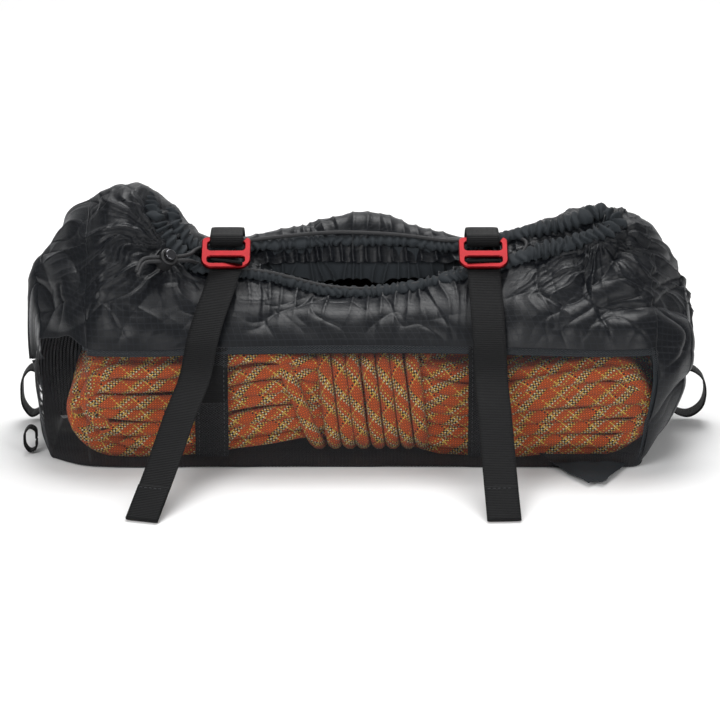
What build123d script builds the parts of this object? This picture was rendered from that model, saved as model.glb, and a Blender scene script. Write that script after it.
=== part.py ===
from build123d import *
from math import atan2, cos, degrees, hypot, pi, radians, sin, tan
import os

# Rope storage bag: a long soft bag with a mesh window, lying on its flat base with a hank of rope inside.
# Frame: +X along the bag, front at -Y, +Z up, origin on the floor under the middle of the base. Millimetres.

os.makedirs("parts", exist_ok=True)

# ---------- driving dimensions ----------
bag_length = 490.0           # end panel to end panel
bag_depth = 170.0            # belly to back
top_height = 165.0           # the bag's top over the middle
wall = 1.6                   # fabric panels, thick enough for solids
base_thickness = 1.6
hem_height = 0.57 * top_height          # lower edge of the front panel
hem_band = 8.0               # width of the doubled hem
layer = 1.2                  # thickness of a hem, binding or other sewn-on layer

left_seam_inset = 38.0       # left end panel to the seam of the left hood
right_seam_inset = 26.0      # right end panel to the seam of the right hood
binding_width = 6.0
mesh_end_height = hem_height            # top of the mesh that wraps round the left end

mouth_length = 157.0
mouth_front = -13.0          # front edge of the mouth slit, in Y
mouth_back = 3.0             # back edge of the mouth slit, in Y

cord_diameter = 3.0
cord_bore = cord_diameter + 0.8           # bore of the sewn channel round the drawcord
channel_diameter = cord_bore + 2.8         # outside of the sewn channel

webbing_width = 25.0
webbing_thickness = 1.6
strap_left_x = -104.5
strap_right_x = 91.0
hook_y = -10.0               # centre of each hook, over the mouth's front lip
tail_reach = 200.0           # how far in front of the origin a tail's end lies on the floor
tail_leave_height = 78.0     # where a tail leaves the belly
left_tail_yaw = 18.0         # the left tail slants outwards
right_tail_yaw = -3.5
tail_hem_length = 16.0

hook_width = webbing_width + 12.5
hook_length = 33.0
hook_thickness = 3.0
bar_width = 5.0              # the two bars that webbing turns round
slot_length = webbing_width + 3.0
slot_width = 7.0             # closed slot for the front strap
notch_width = 9.5            # open notch for the top strap's loop
gate_gap = 2.0
gate_turn = -30.0            # the gate slit leans, in degrees
gate_inset = 1.5             # the slit's middle, in from the notch's end
hook_foot_radius = 9.0
hook_head_radius = 4.5
slot_radius = 2.5
hook_bevel = 0.7

lock_diameter = 14.0
lock_x = -153.0
lock_y = -36.0
button_diameter = 9.0
button_travel = 2.2
button_stand = 3.2           # how far the button stands out of its barrel
lock_travel = 8.0
barrel_floor = 1.2
button_floor = 1.2           # the button's foot, under the cord
barrel_top = 2.6             # barrel above the cord's hole

haul_width = 20.0
haul_height = 40.0
haul_reach = 20.0
haul_seam_height = 26.0
haul_y = 35.0
corner_width = 10.0
corner_height = 20.0
corner_reach = 11.0
corner_seam_height = 11.5
corner_y = -42.0
loop_thickness = 1.6

flap_left_x = 130.0
flap_right_x = 206.0
flap_tip_x = 172.0
flap_reach = 62.0            # how far the flap lies out from its seam
flap_stand = 3.4             # its seam, in front of the flat base
flap_thickness = 1.0
flap_tip_width = 10.0

hank_height = 0.545 * top_height
hank_front = -79.0
hank_back = 62.0
hank_length = 438.0
rope_diameter = 11.0
wrap_start_x = -42.0
wrap_end_x = 46.0

fit_gap = 0.3                # clearance between pieces that move past each other
running_gap = 0.6            # looser clearance round webbing
tail_gap = 3.4               # a tail hangs this clear of the strap behind it

# ---------- the bag's outer form ----------
left_x = -bag_length / 2
right_x = bag_length / 2

# Each station: x, top, lip and shoulder heights against the top's height, depth against the bag's depth.
stations = [
    (left_x, -17.0, -37.0, -65.0, -50.0),
    (left_x + 30, 19.0, 0.0, -37.0, -10.0),
    (left_x + 65, 31.0, 17.0, -25.0, 0.0),
    (left_x + 100, 6.0, -8.0, -38.0, 0.0),
    (strap_left_x - 19, -12.0, -25.0, -49.0, -2.0),
    (strap_left_x, -13.0, -26.0, -50.0, -2.0),
    (0.0, 0.0, -42.0, -57.0, -4.0),
    (strap_right_x, -13.0, -26.0, -50.0, -2.0),
    (right_x - 105, 0.0, -14.0, -42.0, 0.0),
    (right_x - 58, 19.0, 3.0, -33.0, 0.0),
    (right_x - 24, 3.0, -15.0, -43.0, -10.0),
    (right_x, -37.0, -53.0, -71.0, -50.0),
]
base_share = 0.68            # half width of the flat base against the half depth


def section_points(station, inset):
    """The bag's outline in Y and Z at one station, pulled in all round by inset."""
    _, top_rise, lip_rise, shoulder_rise, depth_change = station
    half = (bag_depth + depth_change) / 2
    top = top_height + top_rise
    lip = top_height + lip_rise
    shoulder = top_height + shoulder_rise
    outline = [
        (-base_share * half, 0.0),
        (-0.95 * half, 0.13 * top),
        (-half, 0.31 * top),
        (-0.97 * half, 0.56 * shoulder + 0.12 * top),
        (-0.62 * half, shoulder),
        (-0.14 * half, lip),
        (0.28 * half, top),
        (0.66 * half, 0.92 * top),
        (0.94 * half, 0.66 * top),
        (0.98 * half, 0.30 * top),
        (0.88 * half, 0.09 * top),
        (base_share * half, 0.0),
    ]
    side = (half - inset) / half
    rise = (top - inset) / top
    return [(y * side, z * rise) for y, z in outline]


def bag_form(inset):
    """The bag's whole form as one closed solid, pulled in by inset, or let out where it is negative."""
    with BuildPart() as form:
        for index, station in enumerate(stations):
            x = station[0]
            if index == 0:
                x = x + inset
            if index == len(stations) - 1:
                x = x - inset
            points = section_points(station, inset)
            with BuildSketch(Plane.YZ.offset(x)):
                with BuildLine():
                    Spline(*points)
                    Line(points[-1], points[0])
                make_face()
        loft()
    return form.part


outer_form = bag_form(0.0)
inner_form = bag_form(wall)
layer_form = bag_form(-layer)


def surface_z(x, y):
    """Height of the bag's outer form over a point of the floor."""
    hits = outer_form.find_intersection_points(Axis((x, y, -10), (0, 0, 1)))
    return max(point.Z for point, _ in hits)


def front_y(x, z):
    """Front face of the bag's outer form at a height."""
    hits = outer_form.find_intersection_points(Axis((x, -500, z), (0, 1, 0)))
    return min(point.Y for point, _ in hits)


def back_y(x, z):
    """Back face of the bag's outer form at a height."""
    hits = outer_form.find_intersection_points(Axis((x, -500, z), (0, 1, 0)))
    return max(point.Y for point, _ in hits)


def slope_at(x, y):
    """Slope of the bag's top along Y, in degrees."""
    step = 6.0
    return degrees(atan2(surface_z(x, y + step) - surface_z(x, y - step), 2 * step))


def block(low, high):
    """A plain box between two corners, used to cut panels out of the form."""
    with BuildPart() as box:
        with BuildSketch(Plane.XY.offset(low[2])):
            with Locations(((low[0] + high[0]) / 2, (low[1] + high[1]) / 2)):
                Rectangle(high[0] - low[0], high[1] - low[1])
        extrude(amount=high[2] - low[2])
    return box.part


def save(part, name):
    part.label = name
    export_step(part, f"parts/{name}.step")
    print(f"{name}: {part.volume / 1000:.2f} cm3")


# ---------- fabric panels ----------
left_seam_x = left_x + left_seam_inset
right_seam_x = right_x - right_seam_inset
ridge_y = (mouth_front + mouth_back) / 2
far = 600.0
mouth_low_x = -mouth_length / 2
mouth_high_x = mouth_length / 2
mouth_cut = block((mouth_low_x, mouth_front, hem_height), (mouth_high_x, mouth_back, far))

with BuildPart() as shell:
    add(outer_form)
    add(inner_form, mode=Mode.SUBTRACT)
    add(mouth_cut, mode=Mode.SUBTRACT)

panel_boxes = {
    "mesh_window": ((left_seam_x, -far, base_thickness), (right_seam_x, 0.0, hem_height)),
    "front_panel": ((left_seam_x, -far, hem_height), (right_seam_x, ridge_y, far)),
    "left_mesh_end": ((-far, -far, base_thickness), (left_seam_x, 0.0, mesh_end_height)),
    "right_end_hood": ((right_seam_x, -far, base_thickness), (far, far, far)),
}
for name, (low, high) in panel_boxes.items():
    with BuildPart() as panel:
        add(shell.part)
        add(block(low, high), mode=Mode.INTERSECT)
    save(panel.part, name)

with BuildPart() as left_end_hood:
    add(shell.part)
    add(block((-far, -far, base_thickness), (left_seam_x, far, far)), mode=Mode.INTERSECT)
    add(block((-far, -far, 0.0), (left_seam_x, 0.0, mesh_end_height)), mode=Mode.SUBTRACT)
save(left_end_hood.part, "left_end_hood")

with BuildPart() as back_panel:
    add(shell.part)
    add(block((left_seam_x, -far, base_thickness), (right_seam_x, far, far)), mode=Mode.INTERSECT)
    add(block((left_seam_x, -far, 0.0), (right_seam_x, 0.0, hem_height)), mode=Mode.SUBTRACT)
    add(block((left_seam_x, -far, hem_height), (right_seam_x, ridge_y, far)), mode=Mode.SUBTRACT)
save(back_panel.part, "back_panel")

base_edge = [(station[0], base_share * (bag_depth + station[4]) / 2 + wall / 2) for station in stations]
base_outline = [(x, -y) for x, y in base_edge] + [(x, y) for x, y in reversed(base_edge)]
with BuildPart() as base_panel:
    with BuildSketch():
        with BuildLine():
            Polyline(*base_outline, close=True)
        make_face()
    extrude(amount=base_thickness)
save(base_panel.part, "base_panel")

# ---------- hem and seam bindings, a layer on the panels ----------
layer_boxes = {
    "front_hem": (
        (left_seam_x + binding_width / 2, -far, hem_height - hem_band / 2),
        (right_seam_x - binding_width / 2, 0.0, hem_height + hem_band / 2),
    ),
    "left_seam_binding": (
        (left_seam_x - binding_width / 2, -far, base_thickness),
        (left_seam_x + binding_width / 2, ridge_y, far),
    ),
    "right_seam_binding": (
        (right_seam_x - binding_width / 2, -far, base_thickness),
        (right_seam_x + binding_width / 2, ridge_y, far),
    ),
}
for name, (low, high) in layer_boxes.items():
    with BuildPart() as band:
        add(layer_form)
        add(block(low, high), mode=Mode.INTERSECT)
        add(outer_form, mode=Mode.SUBTRACT)
    save(band.part, name)

# ---------- drawcord, its channel and the cord lock ----------
channel_rise = channel_diameter / 2


def over_surface(x, y, rise):
    """A point that stands off the bag's top by rise, measured square to the slope."""
    return (x, y, surface_z(x, y) + rise / cos(radians(slope_at(x, y))))


cross_hole_height = cord_diameter + 2 * fit_gap
below_cord = cross_hole_height / 2 + button_floor + button_travel + fit_gap + barrel_floor
lock_height = below_cord + cross_hole_height / 2 + barrel_top
lock_foot = Vector(lock_x, lock_y, surface_z(lock_x, lock_y))
lock_slope = radians(slope_at(lock_x, lock_y))
lock_lean_step = 9.0         # the surface's slope along X is taken over this much to each side
lock_lean = surface_z(lock_x - lock_lean_step, lock_y) - surface_z(lock_x + lock_lean_step, lock_y)
lock_lean = lock_lean / (2 * lock_lean_step)
lock_up = Vector(lock_lean, -tan(lock_slope), 1.0).normalized()
lock_clearance = 3.4         # barrel's foot over the fabric, so that it slides clear
lock_mid = lock_foot + lock_up * (lock_clearance + below_cord)
channel_start_x = -127.0
channel_start_y = -17.0
end_lift = 1.0               # the channel's two ends rise off the fabric towards the lock
channel_front_end = Vector(*over_surface(channel_start_x, channel_start_y, channel_rise))
cord_run = lock_mid - channel_front_end
cord_run = (cord_run - lock_up * cord_run.dot(lock_up)).normalized()
cord_side = lock_up.cross(cord_run).normalized()
strand_offset = (cord_diameter + 0.4) / 2
free_run = lock_diameter / 2 + lock_travel + 7.0   # straight cord on the free side, which the lock slides along
entry_run = lock_diameter / 2 + 13.0
free_drop = 12.0
free_splay = 4.0
down_slope = Vector(0, -cos(lock_slope), -sin(lock_slope))


def lock_strand(side):
    """One strand's points through the lock, from its free end to the channel's side of the barrel."""
    middle = lock_mid + cord_side * (side * strand_offset)
    bend = middle + cord_run * free_run
    end = bend + down_slope * free_drop + cord_run * free_splay
    entry = middle - cord_run * entry_run
    return [end, bend, entry]


front_strand = lock_strand(1)
back_strand = lock_strand(-1)
channel_points = [
    (channel_start_x, channel_start_y),
    (strap_left_x + 1, -18.5),
    (-75.0, -18.0),
    (-22.0, -20.0),
    (26.0, -19.0),
    (70.0, -18.0),
    (103.0, -17.0),
    (119.0, -13.0),
    (126.0, -2.0),
    (119.0, 8.5),
    (103.0, 12.0),
    (70.0, 9.5),
    (24.0, 11.0),
    (-24.0, 10.5),
    (-75.0, 9.0),
    (strap_left_x + 1, 7.0),
    (channel_start_x, -2.0),
]
channel_route = [Vector(*over_surface(x, y, channel_rise)) for x, y in channel_points]
for index in (0, -1):
    channel_route[index] += Vector(0, 0, end_lift)
cord_route = front_strand + channel_route + list(reversed(back_strand))


def arc_radii(points):
    """The radius at each corner: 0.45 of its shorter run, over the tangent of half the turn."""
    radii = []
    for before, corner, after in zip(points, points[1:], points[2:]):
        run_in = corner - before
        run_out = after - corner
        shorter = min(run_in.length, run_out.length)
        radii.append(0.45 * shorter / tan(radians(run_in.get_angle(run_out)) / 2))
    return radii


cord_radii = arc_radii(cord_route)
print("drawcord radii:", [round(radius, 1) for radius in cord_radii])


def cord_tube(points, radii, diameter):
    """A round tube along straight runs joined by tangent arcs."""
    with BuildPart() as tube:
        with BuildLine() as line:
            FilletPolyline(*points, radius=radii)
        with BuildSketch(Plane(origin=line.line @ 0, z_dir=line.line % 0)):
            Circle(diameter / 2)
        sweep()
    return tube.part


with BuildPart() as drawcord:
    add(cord_tube(cord_route, cord_radii, cord_diameter))
save(drawcord.part, "drawcord")
with BuildLine() as cord_line:
    FilletPolyline(*cord_route, radius=cord_radii)
cord_length = sum(edge.length for edge in cord_line.edges())
section_volume = pi * (cord_diameter / 2) ** 2 * cord_length
print(f"drawcord length {cord_length:.1f}, section x length {section_volume / 1000:.2f} cm3")

first = len(front_strand)
channel_span = cord_route[first : first + len(channel_route)]
channel_radii = cord_radii[first : first + len(channel_route) - 2]
with BuildPart() as drawcord_channel:
    add(cord_tube(channel_span, channel_radii, channel_diameter))
    add(cord_tube(cord_route, cord_radii, cord_bore), mode=Mode.SUBTRACT)
    add(outer_form, mode=Mode.SUBTRACT)
save(drawcord_channel.part, "drawcord_channel")

lock_plane = Plane(origin=lock_mid, x_dir=cord_run, z_dir=lock_up)
button_bore = button_diameter + 2 * fit_gap
cross_hole_width = 2 * strand_offset + cord_diameter + 2 * fit_gap
with BuildPart() as cord_lock_body:
    with BuildSketch(lock_plane.offset(-below_cord)):
        Circle(lock_diameter / 2)
    extrude(amount=lock_height)
    fillet(cord_lock_body.edges().filter_by(GeomType.CIRCLE), radius=1.0)
    with BuildSketch(lock_plane.offset(barrel_floor - below_cord)):
        Circle(button_bore / 2)
    extrude(amount=lock_height, mode=Mode.SUBTRACT)
    with BuildSketch(Plane(origin=lock_mid - cord_run * lock_diameter, x_dir=cord_side, z_dir=cord_run)):
        RectangleRounded(cross_hole_width, cross_hole_height, cross_hole_height / 2 - 0.01)
    extrude(amount=2 * lock_diameter, mode=Mode.SUBTRACT)
save(cord_lock_body.part, "cord_lock_body")

button_foot = -cross_hole_height / 2 - button_floor
button_top = lock_height - below_cord + button_stand
with BuildPart() as cord_lock_button:
    with BuildSketch(lock_plane.offset(button_foot)):
        Circle(button_diameter / 2)
    extrude(amount=button_top - button_foot)
    button_rim = cord_lock_button.faces().sort_by(Axis(lock_mid, lock_up))[-1]
    fillet(button_rim.edges(), radius=0.9)
    window = Plane(
        origin=lock_mid - cord_run * lock_diameter + lock_up * (button_travel / 2),
        x_dir=cord_side,
        z_dir=cord_run,
    )
    with BuildSketch(window):
        Rectangle(cross_hole_width, cross_hole_height + button_travel)
    extrude(amount=2 * lock_diameter, mode=Mode.SUBTRACT)
save(cord_lock_button.part, "cord_lock_button")

spring_wire = 0.6
spring_radius = button_diameter / 2 - 1.0
spring_foot = barrel_floor - below_cord
spring_height = button_foot - spring_foot
with BuildPart() as cord_lock_spring:
    with BuildLine():
        Helix(
            pitch=spring_height / 3,
            height=spring_height - 2 * spring_wire,
            radius=spring_radius,
            center=lock_mid + lock_up * (spring_foot + spring_wire),
            direction=lock_up,
        )
    spring_line = cord_lock_spring.pending_edges_as_wire
    with BuildSketch(Plane(origin=spring_line @ 0, z_dir=spring_line % 0)):
        Circle(spring_wire / 2)
    sweep(path=spring_line, is_frenet=True)
save(cord_lock_spring.part, "cord_lock_spring")

# ---------- hooks ----------
bar_offset = (hook_length - bar_width) / 2
turn_inner = hypot(bar_width, hook_thickness) / 2 + fit_gap
turn_outer = turn_inner + webbing_thickness
hook_rise = channel_diameter + turn_outer + 2 * running_gap
slot_y = -bar_offset + (bar_width + slot_width) / 2
notch_y = bar_offset - (bar_width + notch_width) / 2


class HookPlace:
    """Where one hook lies: its plane, and the centres of the bars that webbing turns round."""

    def __init__(self, x):
        self.x = x
        self.slope = radians(slope_at(x, hook_y))
        self.across = Vector(0, cos(self.slope), sin(self.slope))
        self.up = Vector(0, -sin(self.slope), cos(self.slope))
        self.centre = Vector(x, hook_y, surface_z(x, hook_y)) + self.up * hook_rise
        self.plane = Plane(origin=self.centre, x_dir=(1, 0, 0), z_dir=self.up)
        self.prong = self.centre + self.across * bar_offset
        self.lower_bar = self.centre - self.across * bar_offset


def hook(place):
    """A flat hook: a closed slot below, an open notch above, and a gate slit through its prong."""
    with BuildPart() as plate:
        with BuildSketch(place.plane.offset(-hook_thickness / 2)):
            RectangleRounded(hook_width, hook_length, hook_foot_radius)
            with Locations((0, hook_length / 4)):
                RectangleRounded(hook_width, hook_length / 2, hook_head_radius)
            with Locations((0, slot_y)):
                RectangleRounded(slot_length, slot_width, slot_radius, mode=Mode.SUBTRACT)
            with Locations((0, notch_y)):
                RectangleRounded(slot_length, notch_width, slot_radius, mode=Mode.SUBTRACT)
            with Locations((slot_length / 2 - gate_inset, bar_offset)):
                Rectangle(gate_gap, 3 * bar_width, rotation=gate_turn, mode=Mode.SUBTRACT)
        extrude(amount=hook_thickness)
        rims = plate.faces().filter_by(Axis((0, 0, 0), place.up))
        chamfer(rims.edges(), length=hook_bevel)
    return plate.part


hook_places = {"left": HookPlace(strap_left_x), "right": HookPlace(strap_right_x)}
for side, place in hook_places.items():
    save(hook(place), f"{side}_hook")


# ---------- webbing ----------
def offset_points(points, distance):
    """Points of a path in a plane, each moved to the path's left by distance."""
    moved = []
    for index, point in enumerate(points):
        before = points[max(index - 1, 0)]
        after = points[min(index + 1, len(points) - 1)]
        along = (Vector(*after) - Vector(*before)).normalized()
        moved.append((point[0] - along.Y * distance, point[1] + along.X * distance))
    return moved


def ribbon(plane, points, width, inner=0.0, outer=webbing_thickness):
    """Webbing on edge: a path drawn in a plane, given its thickness there and its width across it."""
    low = offset_points(points, inner)
    high = offset_points(points, outer)
    with BuildPart() as strip:
        with BuildSketch(plane):
            with BuildLine():
                Spline(*low)
                Line(low[-1], high[-1])
                Spline(*reversed(high))
                Line(high[0], low[0])
            make_face()
        extrude(amount=width / 2, both=True)
    return strip.part


def bar_turn(x, centre):
    """The turn of webbing round a hook's bar."""
    with BuildPart() as turn:
        with BuildSketch(Plane(origin=(x, centre.Y, centre.Z), x_dir=(0, 1, 0), z_dir=(1, 0, 0))):
            Circle(turn_outer)
            Circle(turn_inner, mode=Mode.SUBTRACT)
        extrude(amount=webbing_width / 2, both=True)
    return turn.part


def highest(x, y):
    """The bag's highest point across a strap's width."""
    return max(surface_z(x + shift, y) for shift in (-webbing_width / 2, 0.0, webbing_width / 2))


sew_depth = 1.0              # how far a sewn strip starts under the surface before the form cuts it back
anchor_foot = 18.0
anchor_heights = (anchor_foot, 40.0, 66.0, hem_height)
anchor_top_places = (-66.0, -48.0)      # where the anchor strap crosses the shoulder and ends, in Y
crest_places = (22.0, 40.0, 54.0)       # where the top strap crosses the bag's back half, in Y
crest_stand = 2.0
back_heights = (0.727 * top_height, 0.485 * top_height, 0.242 * top_height)  # the top strap's way down the back
for side, place in hook_places.items():
    x = place.x
    climb = [(front_y(x, z), z) for z in anchor_heights]
    climb += [(y, surface_z(x, y)) for y in anchor_top_places]
    with BuildPart() as anchor:
        add(ribbon(Plane.YZ.offset(x), climb, webbing_width, inner=-sew_depth, outer=layer + webbing_thickness))
        add(layer_form, mode=Mode.SUBTRACT)
    save(anchor.part, f"{side}_front_strap")

    over_channel = channel_diameter + running_gap
    start = (place.prong.Y + 0.5, place.prong.Z + turn_inner)
    crest = [
        start,
        (crest_places[0], highest(x, crest_places[0]) + over_channel),
        (crest_places[1], highest(x, crest_places[1]) + crest_stand),
        (crest_places[2], surface_z(x, crest_places[2])),
    ]
    crest += [(back_y(x, z), z) for z in back_heights]
    with BuildPart() as top_strap:
        add(ribbon(Plane.YZ.offset(x), crest, webbing_width))
        add(outer_form, mode=Mode.SUBTRACT)
        add(bar_turn(x, place.prong))
    save(top_strap.part, f"{side}_top_strap")

tail_clearance = layer + webbing_thickness + tail_gap
tail_floor = 0.3
front_guess = -60.0          # the belly is about this far ahead of a hook's lower bar
tail_bend_drop = 38.0        # the tail leaves the belly's top this far ahead of its bar
tail_lift_off = 18.0


def clear_front(bar, turn, z):
    """Distance ahead of the bar that clears the bag at a height, across the strap's width."""
    reach = []
    for shift in (-webbing_width / 2, webbing_width / 2):
        x = bar.X + front_guess * sin(turn) + shift
        reach.append((front_y(x, z) - bar.Y) / cos(turn))
    return min(reach) - tail_clearance


def clear_top(bar, turn, distance):
    """Height that clears the bag at a distance ahead of the bar, across the strap's width."""
    x = bar.X + distance * sin(turn)
    y = bar.Y + distance * cos(turn)
    return highest(x, y) + tail_clearance / cos(radians(slope_at(x, y)))


for side, yaw in (("left", left_tail_yaw), ("right", right_tail_yaw)):
    place = hook_places[side]
    turn = radians(yaw)
    bar = place.lower_bar
    back = Vector(sin(turn), cos(turn), 0)
    tail_plane = Plane(origin=(bar.X, bar.Y, 0), x_dir=back, z_dir=(cos(turn), -sin(turn), 0))
    floor_end = -(tail_reach + bar.Y) / cos(turn)
    leave = (clear_front(bar, turn, tail_leave_height) - 1.0, tail_leave_height)
    drop = [
        (floor_end, tail_floor),
        (0.75 * floor_end + 0.25 * leave[0], tail_floor + 0.22 * tail_leave_height),
        (0.45 * floor_end + 0.55 * leave[0], tail_floor + 0.50 * tail_leave_height),
        leave,
        (clear_front(bar, turn, hem_height + hem_band / 2), hem_height + hem_band / 2),
        (-tail_bend_drop, clear_top(bar, turn, -tail_bend_drop)),
        (-tail_lift_off, max(clear_top(bar, turn, -tail_lift_off), bar.Z + 0.5)),
        (0.0, bar.Z + turn_inner),
    ]
    with BuildPart() as tail:
        add(ribbon(tail_plane, drop, webbing_width))
        add(bar_turn(bar.X, bar))
    save(tail.part, f"{side}_strap_tail")

    fold_along = Vector(*drop[1]) - Vector(*drop[0])
    fold_along = fold_along.normalized() * tail_hem_length
    fold = [
        drop[0],
        (drop[0][0] + fold_along.X * 0.5, drop[0][1] + fold_along.Y * 0.5),
        (drop[0][0] + fold_along.X, drop[0][1] + fold_along.Y),
    ]
    with BuildPart() as tail_hem:
        add(ribbon(tail_plane, fold, webbing_width, webbing_thickness, 2 * webbing_thickness))
        add(tail.part, mode=Mode.SUBTRACT)
    save(tail_hem.part, f"{side}_tail_hem")

# ---------- soft loops, flap ----------


def teardrop(plane, height, reach, width):
    """A loop of webbing whose two ends meet at a seam, drawn in a plane with its seam at the origin."""
    start = loop_thickness + fit_gap
    points = [
        (start, loop_thickness * 0.6),
        (0.30 * reach, 0.36 * height),
        (0.66 * reach, 0.47 * height - loop_thickness / 2),
        (0.93 * reach, 0.30 * height),
        (reach - loop_thickness, 0.0),
        (0.93 * reach, -0.30 * height),
        (0.66 * reach, -0.47 * height + loop_thickness / 2),
        (0.30 * reach, -0.36 * height),
        (start, -loop_thickness * 0.6),
    ]
    with BuildPart() as loop:
        add(ribbon(plane, points, width, inner=0.0, outer=loop_thickness))
        with BuildSketch(plane):
            with Locations((loop_thickness / 2 + fit_gap, 0)):
                Rectangle(loop_thickness + 1.0, 3.2 * loop_thickness)
        extrude(amount=width / 2, both=True)
    return loop.part


loop_stand = 3.0             # the seam stands this far off the end panel, so that the loop swings clear
left_haul = Plane(origin=(left_x - loop_stand, haul_y, haul_seam_height), x_dir=(-1, 0, 0), z_dir=(0, 1, 0))
right_haul = Plane(origin=(right_x + loop_stand, haul_y, haul_seam_height), x_dir=(1, 0, 0), z_dir=(0, -1, 0))
corner = Plane(origin=(left_x - loop_stand, corner_y, corner_seam_height), x_dir=(-1, 0, 0), z_dir=(0, 1, 0))
save(teardrop(left_haul, haul_height, haul_reach, haul_width), "left_haul_loop")
save(teardrop(right_haul, haul_height, haul_reach, haul_width), "right_haul_loop")
save(teardrop(corner, corner_height, corner_reach, corner_width), "left_corner_loop")

flap_seam_y = -base_share * bag_depth / 2 - flap_stand
with BuildPart() as bottom_flap:
    with BuildSketch(Plane.XY.offset(fit_gap)):
        with BuildLine():
            Polyline(
                (flap_left_x, flap_seam_y),
                (flap_tip_x - flap_tip_width / 2, flap_seam_y - flap_reach),
                (flap_tip_x + flap_tip_width / 2, flap_seam_y - flap_reach),
                (flap_right_x, flap_seam_y),
                close=True,
            )
        make_face()
    extrude(amount=flap_thickness)
save(bottom_flap.part, "bottom_flap")

# ---------- rope ----------
hank_depth = hank_back - hank_front
hank_y = (hank_back + hank_front) / 2
hank_floor = base_thickness + fit_gap
wrap_gap = 0.2


def hank_section(x, depth_inset, height_inset):
    """The hank's rounded outline at one place along its length."""
    width = hank_depth - 2 * depth_inset
    height = hank_height - 2 * height_inset
    with BuildSketch(Plane.YZ.offset(x)) as section:
        with Locations((hank_y, hank_floor + hank_height / 2)):
            RectangleRounded(width, height, 0.4 * height)
    return section.sketch


half_rope = rope_diameter / 2
end_insets = (46.0, 22.0)    # depth and height that the hank's end is drawn in by
cheek_insets = (14.0, 4.0)
cheek_run = 30.0
full_run = 80.0              # the hank is full this far in from its end
waist_run = 14.0             # and is full again this far out from its wraps
left_bundle = [
    hank_section(-hank_length / 2, *end_insets),
    hank_section(-hank_length / 2 + cheek_run, *cheek_insets),
    hank_section(-hank_length / 2 + full_run, 2.0, 0.0),
    hank_section(wrap_start_x - waist_run, 1.0, 1.0),
    hank_section(wrap_start_x - wrap_gap, half_rope, half_rope),
]
right_bundle = [
    hank_section(wrap_end_x + wrap_gap, half_rope, half_rope),
    hank_section(wrap_end_x + waist_run, 1.0, 1.0),
    hank_section(hank_length / 2 - full_run, 2.0, 0.0),
    hank_section(hank_length / 2 - cheek_run, *cheek_insets),
    hank_section(hank_length / 2, *end_insets),
]
with BuildPart() as rope_hank:
    loft(left_bundle, ruled=True)
    extrude(left_bundle[-1], amount=wrap_end_x - wrap_start_x + 2 * wrap_gap)
    loft(right_bundle, ruled=True)
save(rope_hank.part, "rope_hank")

with BuildPart() as rope_wraps:
    extrude(hank_section(wrap_start_x, 0.0, 0.0), amount=wrap_end_x - wrap_start_x)
    add(rope_hank.part, mode=Mode.SUBTRACT)
save(rope_wraps.part, "rope_wraps")
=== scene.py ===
"""A long soft rope bag on a pale floor: fabric, mesh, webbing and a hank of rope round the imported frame."""
import math

import bpy
import numpy as np
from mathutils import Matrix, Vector


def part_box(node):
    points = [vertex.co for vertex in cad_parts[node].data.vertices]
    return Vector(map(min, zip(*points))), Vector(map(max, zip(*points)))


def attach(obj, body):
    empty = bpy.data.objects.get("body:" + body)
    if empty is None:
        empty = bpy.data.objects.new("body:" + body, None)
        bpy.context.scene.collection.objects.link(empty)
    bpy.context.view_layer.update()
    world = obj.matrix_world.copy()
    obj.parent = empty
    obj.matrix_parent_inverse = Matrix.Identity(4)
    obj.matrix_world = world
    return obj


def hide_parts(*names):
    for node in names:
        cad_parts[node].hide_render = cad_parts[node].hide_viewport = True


bl_info = {
    "name": "Rope Storage Bag",
    "version": (1, 0, 0),
    "blender": (4, 5, 0),
    "location": "View3D > Sidebar > Rope Bag",
    "description": "Builds the fabric, mesh, webbing, hardware finishes and rope of a rope storage bag",
    "category": "Add Mesh",
}

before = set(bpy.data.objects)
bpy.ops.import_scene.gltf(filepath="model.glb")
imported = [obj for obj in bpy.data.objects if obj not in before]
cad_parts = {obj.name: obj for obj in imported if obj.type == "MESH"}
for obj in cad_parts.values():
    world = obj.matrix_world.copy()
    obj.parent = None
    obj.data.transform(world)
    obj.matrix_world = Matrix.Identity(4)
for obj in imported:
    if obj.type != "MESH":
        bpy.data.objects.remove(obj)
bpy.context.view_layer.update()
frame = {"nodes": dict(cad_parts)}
MM = 0.001


# ---------- settings ----------
class RopeBagForm(bpy.types.PropertyGroup):
    """Sizes of the bag's soft form, in metres."""

    length: bpy.props.FloatProperty(
        name="Length", description="End panel to end panel", default=0.490, unit="LENGTH"
    )
    depth: bpy.props.FloatProperty(name="Depth", description="Belly to back", default=0.170, unit="LENGTH")
    top: bpy.props.FloatProperty(
        name="Top height", description="Height over the middle", default=0.165, unit="LENGTH"
    )
    hem: bpy.props.FloatProperty(
        name="Hem height", description="Lower edge of the front panel", default=0.094, unit="LENGTH"
    )
    left_seam: bpy.props.FloatProperty(
        name="Left seam", description="Where the left hood is sewn on", default=-0.207, unit="LENGTH"
    )
    right_seam: bpy.props.FloatProperty(
        name="Right seam", description="Where the right hood is sewn on", default=0.219, unit="LENGTH"
    )


class RopeBagRope(bpy.types.PropertyGroup):
    """The rope's size and how it is coiled."""

    diameter: bpy.props.FloatProperty(
        name="Diameter", description="Rope diameter", default=0.0110, unit="LENGTH"
    )
    pitch: bpy.props.FloatProperty(
        name="Pitch", description="Spacing of the strands in the hank", default=0.0111, unit="LENGTH"
    )
    wraps: bpy.props.IntProperty(name="Wraps", description="Turns round the hank's waist", default=8)


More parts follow.
